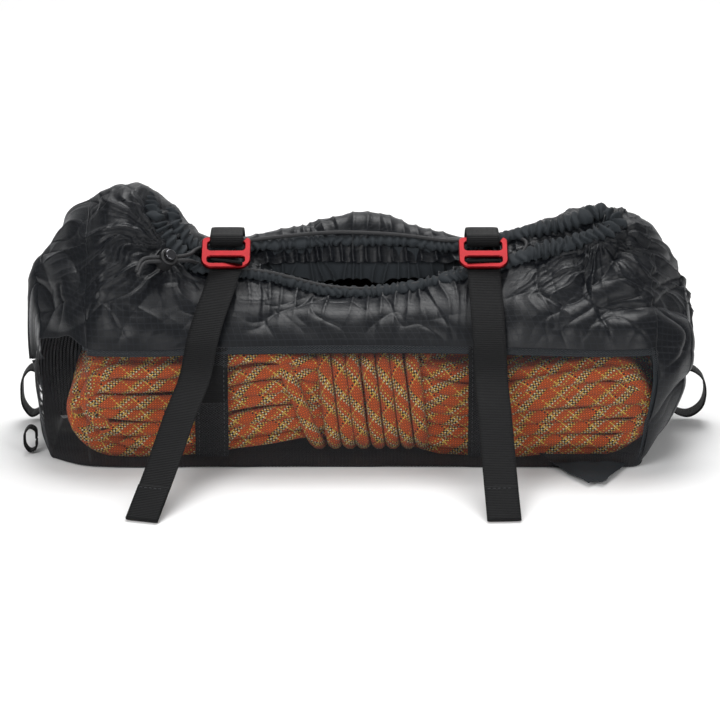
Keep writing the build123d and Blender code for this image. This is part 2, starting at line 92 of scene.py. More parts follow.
class RopeBagColours(bpy.types.PropertyGroup):
    """Colours of the bag and rope."""

    fabric: bpy.props.FloatVectorProperty(
        name="Fabric", description="Coated ripstop", subtype="COLOR", default=(0.0036, 0.0043, 0.0058)
    )
    webbing: bpy.props.FloatVectorProperty(
        name="Webbing", description="Woven straps", subtype="COLOR", default=(0.0055, 0.0056, 0.0060)
    )
    hook: bpy.props.FloatVectorProperty(
        name="Hook", description="Anodised hooks", subtype="COLOR", default=(0.13, 0.0015, 0.0035)
    )
    rope: bpy.props.FloatVectorProperty(
        name="Rope", description="Main sheath colour", subtype="COLOR", default=(1.0, 0.150, 0.007)
    )


# ---------- the bag's form, as arrays ----------
# x, then top, lip and shoulder heights against the top's height, then depth against the bag's depth, in mm.
STATIONS = np.array(
    [
        (-245.0, -30.0, -47.0, -70.0, -50.0),
        (-215.0, 7.0, -10.0, -42.0, -10.0),
        (-180.0, 28.0, 14.0, -27.0, 0.0),
        (-145.0, 6.0, -8.0, -38.0, 0.0),
        (-123.5, -12.0, -25.0, -49.0, -2.0),
        (-104.5, -13.0, -26.0, -50.0, -2.0),
        (0.0, 0.0, -42.0, -57.0, -4.0),
        (91.0, -13.0, -26.0, -50.0, -2.0),
        (140.0, 0.0, -14.0, -42.0, 0.0),
        (187.0, 13.0, -2.0, -35.0, 0.0),
        (221.0, -7.0, -22.0, -46.0, -10.0),
        (245.0, -42.0, -57.0, -73.0, -50.0),
    ]
)
BASE_SHARE = 0.68
FOOT_SHARE = 0.93            # the front sags out to here on the floor
PROFILE_STEPS = 240


def hermite(knots, values, where):
    """A smooth curve through the knots: cubic pieces with the mean slope of their neighbours at each end."""
    knots = np.asarray(knots, float)
    values = np.asarray(values, float)
    slopes = np.gradient(values, knots, axis=0)
    index = np.clip(np.searchsorted(knots, where) - 1, 0, len(knots) - 2)
    span = knots[index + 1] - knots[index]
    t = ((where - knots[index]) / span).reshape((-1,) + (1,) * (values.ndim - 1))
    span = span.reshape(t.shape)
    low, high = values[index], values[index + 1]
    a = 2 * t**3 - 3 * t**2 + 1
    b = t**3 - 2 * t**2 + t
    c = -2 * t**3 + 3 * t**2
    d = t**3 - t**2
    return a * low + b * span * slopes[index] + c * high + d * span * slopes[index + 1]


def outline_knots(x):
    """Twelve knots of the bag's outline in Y and Z at each x, from the front of the base over the top."""
    form = bpy.context.scene.rope_bag_form
    top_rise, lip_rise, shoulder_rise, deeper = hermite(STATIONS[:, 0] * MM, STATIONS[:, 1:] * MM, x).T
    half = (form.depth + deeper) / 2
    top, lip, shoulder = form.top + top_rise, form.top + lip_rise, form.top + shoulder_rise
    y = np.stack([-FOOT_SHARE * half, -0.99 * half, -half, -0.97 * half, -0.62 * half, -0.14 * half,
                  0.28 * half, 0.66 * half, 0.94 * half, 0.98 * half, 0.88 * half, BASE_SHARE * half], 1)
    z = np.stack([0.004 * top, 0.10 * top, 0.31 * top, 0.56 * shoulder + 0.12 * top, shoulder, lip,
                  top, 0.92 * top, 0.66 * top, 0.30 * top, 0.09 * top, 0 * top], 1)
    return y, z


def dense_profile(x):
    """The outline at each x as many points, with the length run along it: arrays of (x, step)."""
    y, z = outline_knots(x)
    w = np.linspace(0, 11, PROFILE_STEPS)
    py = hermite(np.arange(12.0), y.T, w).T
    pz = hermite(np.arange(12.0), z.T, w).T
    pz = np.maximum(pz, 0.0)
    return w, py, pz


def w_at_height(x, height):
    """Where along the outline the front of the bag reaches a height, for each x."""
    w, _, pz = dense_profile(x)
    above = pz >= np.reshape(height, (-1, 1))
    index = np.clip(above.argmax(1), 1, PROFILE_STEPS - 1)
    rows = np.arange(len(x))
    low, high = pz[rows, index - 1], pz[rows, index]
    share = np.clip((height - low) / np.maximum(high - low, 1e-9), 0, 1)
    return w[index - 1] + share * (w[index] - w[index - 1])


def form_points(x, w):
    """Points of the smooth form for grids of x and w; x is constant down each column."""
    _, py, pz = dense_profile(x[0])
    position = np.clip(w / 11 * (PROFILE_STEPS - 1), 0, PROFILE_STEPS - 1.001)
    low = position.astype(int)
    share = position - low
    columns = np.broadcast_to(np.arange(x.shape[1]), w.shape)
    y = py[columns, low] * (1 - share) + py[columns, low + 1] * share
    z = pz[columns, low] * (1 - share) + pz[columns, low + 1] * share
    return np.stack([x, y, z], -1)


def end_grown(points, x_grid, reach):
    """Past either end the outline shrinks towards the end's middle and bulges out a little: a rounded cap."""
    form = bpy.context.scene.rope_bag_form
    past = np.clip(np.abs(x_grid) - form.length / 2, 0, reach) / reach
    shrink = np.sqrt(np.clip(1 - past**2, 0, 1))
    middle = np.array([0.0, 0.0, 0.062])
    grown = points.copy()
    grown[..., 1] = middle[1] + (points[..., 1] - middle[1]) * shrink
    grown[..., 2] = np.where(
        past > 0, middle[2] + (points[..., 2] - middle[2]) * shrink, points[..., 2]
    )
    bulge = np.sin(past * math.pi / 2) * CAP_BULGE
    grown[..., 0] = np.sign(x_grid) * (np.minimum(np.abs(x_grid), form.length / 2) + bulge)
    return grown


CAP_REACH = 0.060
CAP_BULGE = 0.0045


def tucked(points):
    """Draws the ends in towards the floor, the right end more than the left."""
    x, z = points[..., 0], points[..., 2]
    past = np.clip((np.abs(x) - 0.180) / 0.065, 0, 1) ** 2
    low = np.clip(1 - z / 0.085, 0, 1) ** 1.6
    taper = np.where(x > 0, 0.034, 0.009)
    moved = points.copy()
    moved[..., 0] = x - np.sign(x) * taper * past * low
    return moved


def body_surface(s, w):
    """The bag's smooth form over grids of s, which is x run on past the ends over the caps, and w."""
    form = bpy.context.scene.rope_bag_form
    x = np.clip(s, -form.length / 2, form.length / 2)
    return tucked(end_grown(form_points(x, w), s, CAP_REACH))


# ---------- noise and folds ----------
def scatter(i, j, seed):
    """A fixed pseudo-random number from 0 to 1 for each pair of whole numbers."""
    value = np.sin(i * 127.1 + j * 311.7 + seed * 74.7) * 43758.5453
    return value - np.floor(value)


def soft_noise(x, y, seed):
    """Smooth noise from -1 to 1: random corner values of a square grid, blended with a quintic."""
    i, j = np.floor(x), np.floor(y)
    fx, fy = x - i, y - j
    fx = fx**3 * (fx * (fx * 6 - 15) + 10)
    fy = fy**3 * (fy * (fy * 6 - 15) + 10)
    low = scatter(i, j, seed) * (1 - fx) + scatter(i + 1, j, seed) * fx
    high = scatter(i, j + 1, seed) * (1 - fx) + scatter(i + 1, j + 1, seed) * fx
    return (low * (1 - fy) + high * fy) * 2 - 1


def creases(x, y, seed):
    """Crumpled cloth: squared distance to the nearest scattered point, so ridges are sharp and dips round."""
    i, j = np.floor(x), np.floor(y)
    nearest = np.full(np.shape(x), 9.0)
    for di in (-1, 0, 1):
        for dj in (-1, 0, 1):
            px = i + di + scatter(i + di, j + dj, seed)
            py = j + dj + scatter(i + di, j + dj, seed + 17)
            nearest = np.minimum(nearest, (x - px) ** 2 + (y - py) ** 2)
    return nearest


def pleat(phase):
    """A run of pleats from 0 to 1: a rounded crest and a narrow valley."""
    wave = np.abs(np.sin(phase * math.pi))
    return np.sqrt(wave)


def ridges(x, y, seed):
    """Cloth folded against itself: sharp crests where smooth noise passes through zero."""
    return 1 - np.abs(soft_noise(x, y, seed)) ** 0.75


LEFT_THROAT = np.array([-0.150, -0.012])
RIGHT_THROAT = np.array([0.176, -0.004])
STRAP_LEFT = -0.1045
STRAP_RIGHT = 0.091
STRAP_WIDTH = 0.025


def blend_in(value, low, high):
    """0 below low, 1 above high, and a smooth step between."""
    t = np.clip((value - low) / (high - low), 0, 1)
    return t * t * (3 - 2 * t)


def looseness_at(s, run, hem_run):
    """How freely the cloth folds at each place: loose hoods, a tighter middle, flat under the straps, at the
    seams and along the hem. It is one field, so that panels meet along their seams."""
    form = bpy.context.scene.rope_bag_form
    loose = 0.50 + 0.66 * blend_in(np.abs(s), 0.115, 0.215)
    for seam in (form.left_seam, form.right_seam):
        loose = loose * (0.55 + 0.45 * blend_in(np.abs(s - seam), 0.0, 0.016))
    for strap in (STRAP_LEFT, STRAP_RIGHT):
        loose = loose * (0.10 + 0.90 * blend_in(np.abs(s - strap), 0.010, 0.030))
    inside = 1 - blend_in(s, form.right_seam, form.right_seam + 0.022)
    near = np.exp(-(((run - hem_run) / 0.013) ** 2)) * inside
    return loose * (1 - 0.94 * near)


def cloth_rise(points, run, looseness):
    """How far cloth stands off the smooth form. It has gathers that fan out of the two throats, broad billows and
    crumpled creases. run is the length along the outline."""
    x, y, z = points[..., 0], points[..., 1], points[..., 2]
    warp = soft_noise(x / 0.045, run / 0.045, 3) * 0.014
    warp2 = soft_noise(x / 0.030 + 9, run / 0.030, 4) * 0.010
    u, v = x + warp, run + warp2
    rise = soft_noise(u / 0.095, v / 0.095, 11) * 0.0030
    rise += (ridges(u / 0.105, v / 0.075, 13) - 0.62) * 0.0105
    rise += (ridges((u + 0.7 * v) / 0.066, (u - v) / 0.044, 14) - 0.62) * 0.0045
    rise += (ridges((u - 0.6 * v) / 0.026, v / 0.034, 15) - 0.62) * 0.0015
    rise += (creases(u / 0.030, v / 0.030, 21) - 0.30) * 0.0012
    for pace, tall, seed in ((0.075, 0.0034, 16), (0.043, 0.0024, 17), (0.024, 0.0011, 18)):
        pinch = np.abs(soft_noise((u + 0.4 * v) / pace, (v - 0.5 * u) / (pace * 1.5), seed))
        rise += (np.exp(-pinch / 0.10) - 0.22) * tall
    total = rise * looseness
    for centre, folds, depth, reach, seed in (
        (LEFT_THROAT, 15, 0.0062, 0.072, 31),
        (RIGHT_THROAT, 17, 0.0058, 0.078, 32),
    ):
        across, up = x - centre[0], (z - 0.150) + (y - centre[1])
        distance = np.hypot(across, up)
        angle = np.arctan2(up, across)
        wander = soft_noise(distance / 0.026, angle * 2.0, seed) * 0.75
        fan = pleat(angle / (2 * math.pi) * folds + wander) - 0.62
        fine = pleat(angle / (2 * math.pi) * folds * 2.0 + 1.7 * wander + 0.3) - 0.62
        fade = np.exp(-((distance / reach) ** 2)) * np.clip(distance / 0.014, 0, 1)
        total += (fan + 0.35 * fine) * depth * fade * (0.25 + 0.75 * np.clip(looseness, 0, 1))
    return total


def mouth_gathers(x, below, seed, depth=0.0032, spread=0.026, pace=0.0105):
    """Gathers that hang from the mouth's channel and fade out below it."""
    wander = soft_noise(x / 0.030, below / 0.050, seed) * 0.9
    fold = pleat(x / pace + wander + below / 0.09) - 0.6
    return fold * depth * np.exp(-below / spread)


def normals_of(points):
    """Unit normals of a grid: the cross product of its two directions."""
    du = np.gradient(points, axis=1)
    dv = np.gradient(points, axis=0)
    normal = np.cross(du, dv)
    return normal / np.maximum(np.linalg.norm(normal, axis=-1, keepdims=True), 1e-9)


def run_length(points):
    """Length run down each column of a grid."""
    step = np.linalg.norm(np.diff(points, axis=0), axis=-1)
    return np.concatenate([np.zeros((1, points.shape[1])), np.cumsum(step, 0)])


# ---------- meshes ----------
def grid_object(name, points, uv=None, wrap_rows=False, wrap_columns=False, flip=False):
    """A sheet or tube of quads over a grid of points."""
    rows, columns = points.shape[:2]
    index = np.arange(rows * columns).reshape(rows, columns)
    if wrap_rows:
        index = np.vstack([index, index[:1]])
    if wrap_columns:
        index = np.hstack([index, index[:, :1]])
    quads = np.stack([index[:-1, :-1], index[:-1, 1:], index[1:, 1:], index[1:, :-1]], -1)
    if flip:
        quads = quads[..., ::-1]
    mesh = bpy.data.meshes.new(name)
    mesh.from_pydata(points.reshape(-1, 3), [], quads.reshape(-1, 4).tolist())
    if uv is not None:
        add_uv(mesh, uv, quads, columns)
    mesh.polygons.foreach_set("use_smooth", np.ones(len(mesh.polygons), bool))
    mesh.update()
    piece = bpy.data.objects.new(name, mesh)
    bpy.context.scene.collection.objects.link(piece)
    return piece


def add_uv(mesh, uv, quads, columns):
    """Writes each corner's u and v; uv holds one more row or column than the points where the grid wraps."""
    rows, across = quads.shape[:2]
    corners = [uv[:rows, :across], uv[:rows, 1 : across + 1], uv[1 : rows + 1, 1 : across + 1],
               uv[1 : rows + 1, :across]]
    layer = mesh.uv_layers.new(name="UVMap")
    layer.data.foreach_set("uv", np.stack(corners, 2).reshape(-1).astype(np.float32))


def plain_uv(points):
    """u and v as the lengths run along a grid's columns and rows, in metres."""
    across = np.linalg.norm(np.diff(points, axis=1), axis=-1)
    u = np.concatenate([np.zeros((points.shape[0], 1)), np.cumsum(across, 1)], 1)
    return np.stack([u, run_length(points)], -1)


def thicken(piece, thickness, offset=-1.0):
    """Gives a sheet its wall."""
    wall = piece.modifiers.new("wall", "SOLIDIFY")
    wall.thickness = thickness
    wall.offset = offset


def set_material(piece, material):
    """Gives a piece one material."""
    piece.data.materials.clear()
    piece.data.materials.append(material)


# ---------- shader words ----------
class Value:
    """A number or socket in a material; sums and products of it add Math nodes."""

    def __init__(self, shader, source):
        """Keeps the shader and the socket."""
        self.shader = shader
        self.source = source

    def _math(self, operation, *others):
        """A Math node of this value and others."""
        return self.shader.node("ShaderNodeMath", {"operation": operation}, [self, *others])

    def __add__(self, other):
        """a + b"""
        return self._math("ADD", other)

    def __radd__(self, other):
        """b + a"""
        return self._math("ADD", other)

    def __sub__(self, other):
        """a - b"""
        return self._math("SUBTRACT", other)

    def __rsub__(self, other):
        """b - a"""
        return self.shader.node("ShaderNodeMath", {"operation": "SUBTRACT"}, [other, self])

    def __mul__(self, other):
        """a b"""
        return self._math("MULTIPLY", other)

    def __rmul__(self, other):
        """b a"""
        return self._math("MULTIPLY", other)

    def __truediv__(self, other):
        """a / b"""
        return self._math("DIVIDE", other)

    def floor(self):
        """The whole number below."""
        return self._math("FLOOR")

    def wrap(self, period):
        """The rest after whole periods."""
        return self._math("FLOORED_MODULO", period)

    def sin(self):
        """The sine."""
        return self._math("SINE")

    def abs(self):
        """The size without sign."""
        return self._math("ABSOLUTE")

    def fract(self):
        """The part after the whole number."""
        return self._math("FRACT")

    def power(self, exponent):
        """a to the exponent."""
        return self._math("POWER", exponent)

    def less(self, limit):
        """1 where a is under the limit, or else 0."""
        return self._math("LESS_THAN", limit)

    def more(self, limit):
        """1 where a is over the limit, or else 0."""
        return self._math("GREATER_THAN", limit)

    def most(self, other):
        """The larger of two."""
        return self._math("MAXIMUM", other)


class Shader:
    """One material's nodes, with a Principled surface."""

    def __init__(self, name):
        """Starts the material."""
        self.material = bpy.data.materials.new(name)
        self.material.use_nodes = True
        self.tree = self.material.node_tree
        self.surface = self.tree.nodes["Principled BSDF"]

    def node(self, kind, settings, inputs, output=0):
        """Any node: its settings, then a value or link for each socket, by place or by name."""
        made = self.tree.nodes.new(kind)
        for key, value in settings.items():
            setattr(made, key, value)
        pairs = inputs.items() if isinstance(inputs, dict) else enumerate(inputs)
        for key, value in pairs:
            if isinstance(value, Value):
                self.tree.links.new(value.source, made.inputs[key])
            else:
                made.inputs[key].default_value = value
        return Value(self, made.outputs[output])

    def set(self, **values):
        """Sets or links the surface's inputs."""
        for key, value in values.items():
            socket = self.surface.inputs[key.replace("_", " ")]
            if isinstance(value, Value):
                self.tree.links.new(value.source, socket)
            else:
                socket.default_value = value

    def object_place(self):
        """Object coordinates, whole and as x, y and z."""
        place = self.node("ShaderNodeTexCoord", {}, [], "Object")
        parts = self.tree.nodes.new("ShaderNodeSeparateXYZ")
        self.tree.links.new(place.source, parts.inputs[0])
        return place, [Value(self, parts.outputs[k]) for k in range(3)]

    def uv(self):
        """The UV place, whole and as u and v."""
        place = self.node("ShaderNodeUVMap", {"uv_map": "UVMap"}, [])
        parts = self.tree.nodes.new("ShaderNodeSeparateXYZ")
        self.tree.links.new(place.source, parts.inputs[0])
        return place, Value(self, parts.outputs[0]), Value(self, parts.outputs[1])

    def noise(self, place, scale, detail=2.0, roughness=0.5):
        """A noise at the place."""
        return self.node(
            "ShaderNodeTexNoise", {},
            {"Vector": place, "Scale": scale, "Detail": detail, "Roughness": roughness},
        )

    def mix(self, share, low, high):
        """A colour between two colours."""
        low = low if isinstance(low, Value) else (*low, 1.0)
        high = high if isinstance(high, Value) else (*high, 1.0)
        return self.node("ShaderNodeMix", {"data_type": "RGBA"}, {0: share, 6: low, 7: high}, 2)

    def bump(self, height, distance, strength=1.0):
        """A normal bent by the height."""
        return self.node(
            "ShaderNodeBump", {}, {"Height": height, "Distance": distance, "Strength": strength}
        )


def tinted(colour, factor):
    """The colour times a factor."""
    return tuple(channel * factor for channel in colour)


def ripstop_material(name="ripstop", gloss=0.40):
    """Coated black ripstop: a fine grid of raised threads, faint weave, cloudy sheen."""
    colours = bpy.context.scene.rope_bag_colours
    s = Shader(name)
    place, u, v = s.uv()
    cell = 0.0052
    line = ((u / cell).fract() - 0.5).abs().more(0.435).most(((v / cell).fract() - 0.5).abs().more(0.435))
    weave = (u * 5200.0).sin() * (v * 5200.0).sin()
    cloud = s.noise(place, 34.0, 4.0, 0.6)
    fine = s.noise(place, 900.0, 2.0, 0.6)
    colour = s.mix(cloud, tinted(colours.fabric, 0.75), tinted(colours.fabric, 1.45))
    s.set(Base_Color=s.mix(line * 0.4, colour, tinted(colours.fabric, 3.4)))
    s.set(Roughness=cloud * 0.12 + fine * 0.06 + (gloss - 0.10) + line * 0.08)
    s.set(Specular_IOR_Level=0.26, Sheen_Weight=0.02, Sheen_Roughness=0.35)
    s.set(Sheen_Tint=(0.62, 0.72, 0.92, 1.0))
    s.set(Normal=s.bump(line * 0.5 + weave * 0.12 + fine * 0.35, 0.00018, 0.7))
    return s.material


def webbing_material(name="webbing"):
    """Woven webbing: cross ribs, a herringbone of threads, slightly fuzzy."""
    colours = bpy.context.scene.rope_bag_colours
    s = Shader(name)
    place, u, v = s.uv()
    rib = (v * (2 * math.pi / 0.0015)).sin()
    column = (u / 0.0021).floor()
    thread = ((u * (2 * math.pi / 0.0021)) + 0.0).sin().abs()
    slant = ((v / 0.0015) + (column.wrap(2.0) * 2.0 - 1.0) * (u / 0.0021) * 0.5).fract()
    fuzz = s.noise(place, 1400.0, 2.0, 0.7)
    worn = s.noise(place, 60.0, 3.0, 0.6)
    shade = (rib * 0.25 + 0.5) * 0.5 + slant * 0.25 + fuzz * 0.25
    s.set(Base_Color=s.mix(shade, tinted(colours.webbing, 0.45), tinted(colours.webbing, 2.2)))
    s.set(Roughness=worn * 0.12 + 0.58)
    s.set(Specular_IOR_Level=0.12, Sheen_Weight=0.02, Sheen_Roughness=0.45)
    s.set(Normal=s.bump(rib * 0.5 + thread * 0.3 + slant * 0.25 + fuzz * 0.3, 0.00030, 0.8))
    return s.material


def mesh_material():
    """Thin glossy monofilament of the mesh."""
    s = Shader("mesh_strand")
    place, _ = s.object_place()
    grain = s.noise(place, 700.0, 2.0)
    s.set(Base_Color=s.mix(grain, (0.024, 0.025, 0.028), (0.066, 0.068, 0.075)))
    s.set(Roughness=grain * 0.2 + 0.34, Specular_IOR_Level=0.45)
    return s.material


def rope_material(diameter):
    """A braided sheath: two families of strands cross in diamonds, and each strand has its own colour, with painted
    shade in the gaps between strands.
    """
    colours = bpy.context.scene.rope_bag_colours
    s = Shader("rope_sheath")
    place, u, v = s.uv()
    around = 18.0
    cell = math.pi * diameter / around
    a = u * around + v / (cell * 1.05)
    b = u * around - v / (cell * 1.05)
    i, j = a.floor(), b.floor()
    fa, fb = a.fract() - 0.5, b.fract() - 0.5
    first_on_top = (i + j).wrap(2.0).less(0.5)
    carrier_a, carrier_b = i.wrap(around), j.wrap(around)
    orange, yellow = tuple(colours.rope), (0.95, 0.60, 0.09)
    white, black = (0.95, 0.84, 0.50), (0.012, 0.008, 0.006)
    red = tinted(orange, 0.42)
    fibre = s.noise(place, 1500.0, 2.0, 0.7)
    dye = s.noise(place, 90.0, 2.0, 0.5)
    base = s.mix(dye, tinted(orange, 0.80), tinted(orange, 1.12))

    def strand(carrier, colour, spots):
        """Paints numbered carriers over a colour."""
        for number, width, paint in spots:
            chosen = (carrier - (number + width / 2 - 0.5)).abs().less(width / 2)
            colour = s.mix(chosen, colour, paint)
        return colour

    colour_a = strand(carrier_a, base, [(1, 1, yellow), (2, 1, white), (3, 1, yellow), (4, 1, white),
                                        (8, 1, yellow), (10, 1, white), (11, 1, yellow), (12, 1, yellow)])
    every_second = carrier_b.wrap(2.0).less(0.5)
    dark_dot = s.mix(every_second, tinted(orange, 0.45), black)
    under_a = strand(carrier_a, s.mix(0.62, base, red), [(1, 4, dark_dot), (10, 3, dark_dot)])
    colour_b = strand(carrier_b, under_a, [(4, 1, yellow), (5, 1, black), (14, 1, yellow)])
    colour = s.mix(first_on_top, colour_b, colour_a)
    round_a = 1.0 - (fa * 2.0).power(2.0)
    round_b = 1.0 - (fb * 2.0).power(2.0)
    dome = (round_a * round_b).most(0.0).power(0.5)
    # painted shade: each strand's colour darkens towards its edges, into the gaps between strands
    edge = 1.0 - dome
    s.set(Base_Color=s.mix(edge * 0.92, colour, (0.040, 0.008, 0.003)))
    s.set(Roughness=fibre * 0.15 + 0.62, Specular_IOR_Level=0.35, Sheen_Weight=0.10)
    s.set(Normal=s.bump(dome + fibre * 0.25, 0.00055, 0.9))
    return s.material


def anodised_material():
    """Red anodised aluminium: satin with fine tumbling marks and a patchy tone."""
    colours = bpy.context.scene.rope_bag_colours
    s = Shader("red_anodised")
    place, _ = s.object_place()
    grain = s.noise(place, 1200.0, 3.0, 0.6)
    patch = s.noise(place, 120.0, 3.0, 0.6)
    s.set(Base_Color=s.mix(patch, tinted(colours.hook, 0.8), tinted(colours.hook, 1.35)))
    s.set(Metallic=0.85, Roughness=grain * 0.12 + 0.30)
    s.set(Normal=s.bump(grain, 0.00004, 0.6))
    return s.material


def plastic_material(name, colour, rough):
    """Moulded plastic with a slight orange peel."""
    s = Shader(name)
    place, _ = s.object_place()
    grain = s.noise(place, 650.0, 2.0, 0.6)
    s.set(Base_Color=s.mix(grain, tinted(colour, 0.8), tinted(colour, 1.25)))
    s.set(Roughness=grain * 0.08 + rough, Specular_IOR_Level=0.55)
    s.set(Normal=s.bump(grain, 0.00006, 0.5))
    return s.material


def metal_material(name, colour, rough):
    """Drawn or polished metal."""
    s = Shader(name)
    place, _ = s.object_place()
    grain = s.noise(place, 900.0, 2.0, 0.5)
    s.set(Base_Color=s.mix(grain, tinted(colour, 0.85), colour))
    s.set(Metallic=1.0, Roughness=grain * 0.10 + rough)
    return s.material


def cord_material():
    """Thin black accessory cord with a tight braid."""
    s = Shader("accessory_cord")
    place, xyz = s.object_place()
    braid = ((xyz[0] + xyz[2]) * 4200.0).sin() * ((xyz[0] - xyz[2] + xyz[1]) * 4200.0).sin()
    fuzz = s.noise(place, 1300.0, 2.0, 0.6)
    s.set(Base_Color=s.mix(braid * 0.3 + fuzz * 0.5, (0.008, 0.008, 0.009), (0.045, 0.046, 0.050)))
    s.set(Roughness=fuzz * 0.15 + 0.60)
    s.set(Normal=s.bump(braid * 0.5 + fuzz * 0.4, 0.0002, 0.8))
    return s.material


# ---------- rope ----------
def hank_bend(points, across):
    """Shapes the hank along its length: a tight waist under the wraps, a slight twist, and the right half's
    top strands drawn down. across is the height and depth from the hank's middle."""
    x = points[:, 0]
    waist = np.exp(-((np.abs(x - 0.002) / 0.062) ** 4))
    arch = np.sin(np.clip((x + 0.205) / 0.165, 0, 1) * math.pi)
    arch = arch * np.clip(1 - np.abs(across[:, 1]) / 0.06, 0, 1)
    depth = across[:, 0] * (1 - 0.17 * waist)
    height = across[:, 1] * (1 - 0.24 * waist)
    low_right = np.exp(-(((x - 0.120) / 0.060) ** 2))
    height = np.where(height > 0, height * (1 - 0.34 * low_right), height * (1 - 0.06 * low_right))
    turn = np.radians(11.0) * np.exp(-(((x + 0.070) / 0.055) ** 2)) * -1.0
    turn += np.radians(9.0) * np.exp(-(((x - 0.075) / 0.040) ** 2))
    y = depth * np.cos(turn) - height * np.sin(turn)
    z = depth * np.sin(turn) + height * np.cos(turn) - 0.0045 * arch
    return np.stack([x, y, z], 1)


HANK_MIDDLE_Y = -0.0085
HANK_MIDDLE_Z = 0.0469
ROPE_FLOOR = 0.0078


def hank_runs(pitch):
    """Depth and height of each straight run of the hank. In each upright layer the loops are nested: the rope
    goes along the bottom and back over the top, from the outer loop inwards, then outwards in the next."""
    runs = []
    layers = 13
    for layer in range(layers):
        depth = (layer - (layers - 1) / 2) * pitch * 0.955
        pairs = 3 if layer in (0, layers - 1) else 4
        heights = [(pairs - 0.5 - k) * pitch * (0.97 if pairs == 4 else 1.0) for k in range(pairs)]
        if layer % 2:
            heights.reverse()
        for height in heights:
            runs.append((depth, -height))
            runs.append((depth, height))
    return runs


def hank_path(settings):
    """The whole rope as one line of points: runs joined by half-round bights, then turns round the waist."""
    pitch = settings.pitch
    runs = hank_runs(pitch)
    line = []
    step = 0.0075
    end_x = 0.2130
    for number, (depth, height) in enumerate(runs):
        way = 1.0 if number % 2 == 0 else -1.0
        bight = min(abs(height), 4 * pitch)
        reach = end_x - bight
        wobble = scatter(number, 1.0, 5.0) * 0.010
        count = int(2 * reach / step)
        x = way * np.linspace(-reach, reach, count)
        drift = x / 0.050
        y = depth + soft_noise(drift, np.full(count, number * 1.7), 41) * 0.0016
        z = height + soft_noise(drift, np.full(count, number * 2.3), 42) * 0.0021
        line.append(np.stack([x, y, z], 1))
        if number + 1 < len(runs):
            next_depth, next_height = runs[number + 1]
            swing = np.linspace(0, math.pi, 15)[1:-1]
            middle_z = (height + next_height) / 2
            radius = abs(next_height - height) / 2
            bulge = max(radius, 0.9 * pitch) + wobble * (0.35 if way > 0 else 0.15)
            share = (1 - np.cos(swing)) / 2
            line.append(np.stack([
                way * (reach + bulge * np.sin(swing)),
                depth + (next_depth - depth) * share,
                height + (next_height - height) * share if radius < 1e-6
                else middle_z - np.sign(next_height - height) * radius * np.cos(swing),
            ], 1))
    hank = np.concatenate(line)
    bent = hank_bend(hank, hank[:, 1:])
    foot = -3.5 * pitch * 0.97
    lowest = hank_bend(hank, np.stack([hank[:, 1], np.full(len(hank), foot)], 1))[:, 2]
    raised = np.clip(ROPE_FLOOR - HANK_MIDDLE_Z - lowest, 0, None)
    bent[:, 2] += raised * np.clip(1 - (hank[:, 2] - foot) / (-2 * foot), 0, 1)
    turns = settings.wraps
    swing = np.linspace(0, turns * 2 * math.pi, turns * 46)
    lap = swing / (2 * math.pi)
    wide, tall, power = 0.0640, 0.0392, 2.0 / 3.2
    angle = swing + math.pi * 0.75
    y = wide * np.sign(np.cos(angle)) * np.abs(np.cos(angle)) ** power
    z = tall * np.sign(np.sin(angle)) * np.abs(np.sin(angle)) ** power
    first_lean = 0.022 * np.clip(1 - lap, 0, 1)
    x = -0.0390 + 0.0111 * lap + (-0.085 * z) - first_lean * (0.5 + z / tall / 2)
    x += soft_noise(lap * 2.2, lap, 44) * 0.0008
    wraps = np.stack([x, y, z], 1)
    join = np.linspace(bent[-1], wraps[0], 9)[1:-1]
    path = np.concatenate([bent, join, wraps])
    path[:, 1] += HANK_MIDDLE_Y
    path[:, 2] = np.maximum(path[:, 2] + HANK_MIDDLE_Z, ROPE_FLOOR)
    return path, len(bent)


def tube_round(path, radius, sides, reference):
    """A round tube: at each point of the path a circle square to it, turned from a reference direction."""
    tangent = np.gradient(path, axis=0)
    tangent /= np.linalg.norm(tangent, axis=1, keepdims=True)
    side = np.cross(reference, tangent)
    side /= np.maximum(np.linalg.norm(side, axis=1, keepdims=True), 1e-9)
    other = np.cross(tangent, side)
    angle = np.linspace(0, 2 * math.pi, sides, endpoint=False)[:, None, None]
    radius = np.reshape(radius, (1, -1, 1))
    ring = path[None] + radius * (np.cos(angle) * side[None] + np.sin(angle) * other[None])
    run = np.concatenate([[0], np.cumsum(np.linalg.norm(np.diff(path, axis=0), axis=1))])
    around = np.linspace(0, 1, sides + 1)
    uv = np.stack(np.broadcast_arrays(around[:, None], run[None]), -1)
    return ring, uv, run[-1]


class ROPEBAG_OT_rope(bpy.types.Operator):
    """Coils the rope into a hank with a wrapped waist"""

    bl_idname = "ropebag.rope"
    bl_label = "Rope"

    def execute(self, context):
        """Runs the step."""
        settings = context.scene.rope_bag_rope
        path, split = hank_path(settings)
        reference = np.tile([0.0, 1.0, 0.0], (len(path), 1))
        blend = np.clip((np.arange(len(path)) - split) / 8, 0, 1)[:, None]
        reference = reference * (1 - blend) + np.array([1.0, 0.0, 0.0]) * blend
        ends = np.minimum(np.arange(len(path)), np.arange(len(path))[::-1])
        radius = settings.diameter / 2 * np.clip(0.05 + ends / 1.5, 0, 1)
        ring, uv, length = tube_round(path, radius, 9, reference)
        rope = grid_object("rope", ring, uv, wrap_rows=True)
        set_material(rope, rope_material(settings.diameter))
        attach(rope, "bag")
        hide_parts("rope_hank", "rope_wraps")
        print(f"rope length {length:.2f} m")
        return {"FINISHED"}


# ---------- fabric ----------
def sheet_piece(name, points, uv, node, material, thickness, flip=False):
    """A cloth sheet with its wall, its finish and the CAD panel that it stands for."""
    piece = grid_object(name, points, uv, flip=flip)
    thicken(piece, thickness)
    set_material(piece, material)
    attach(piece, "bag")
    if node:
        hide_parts(node)
    return piece


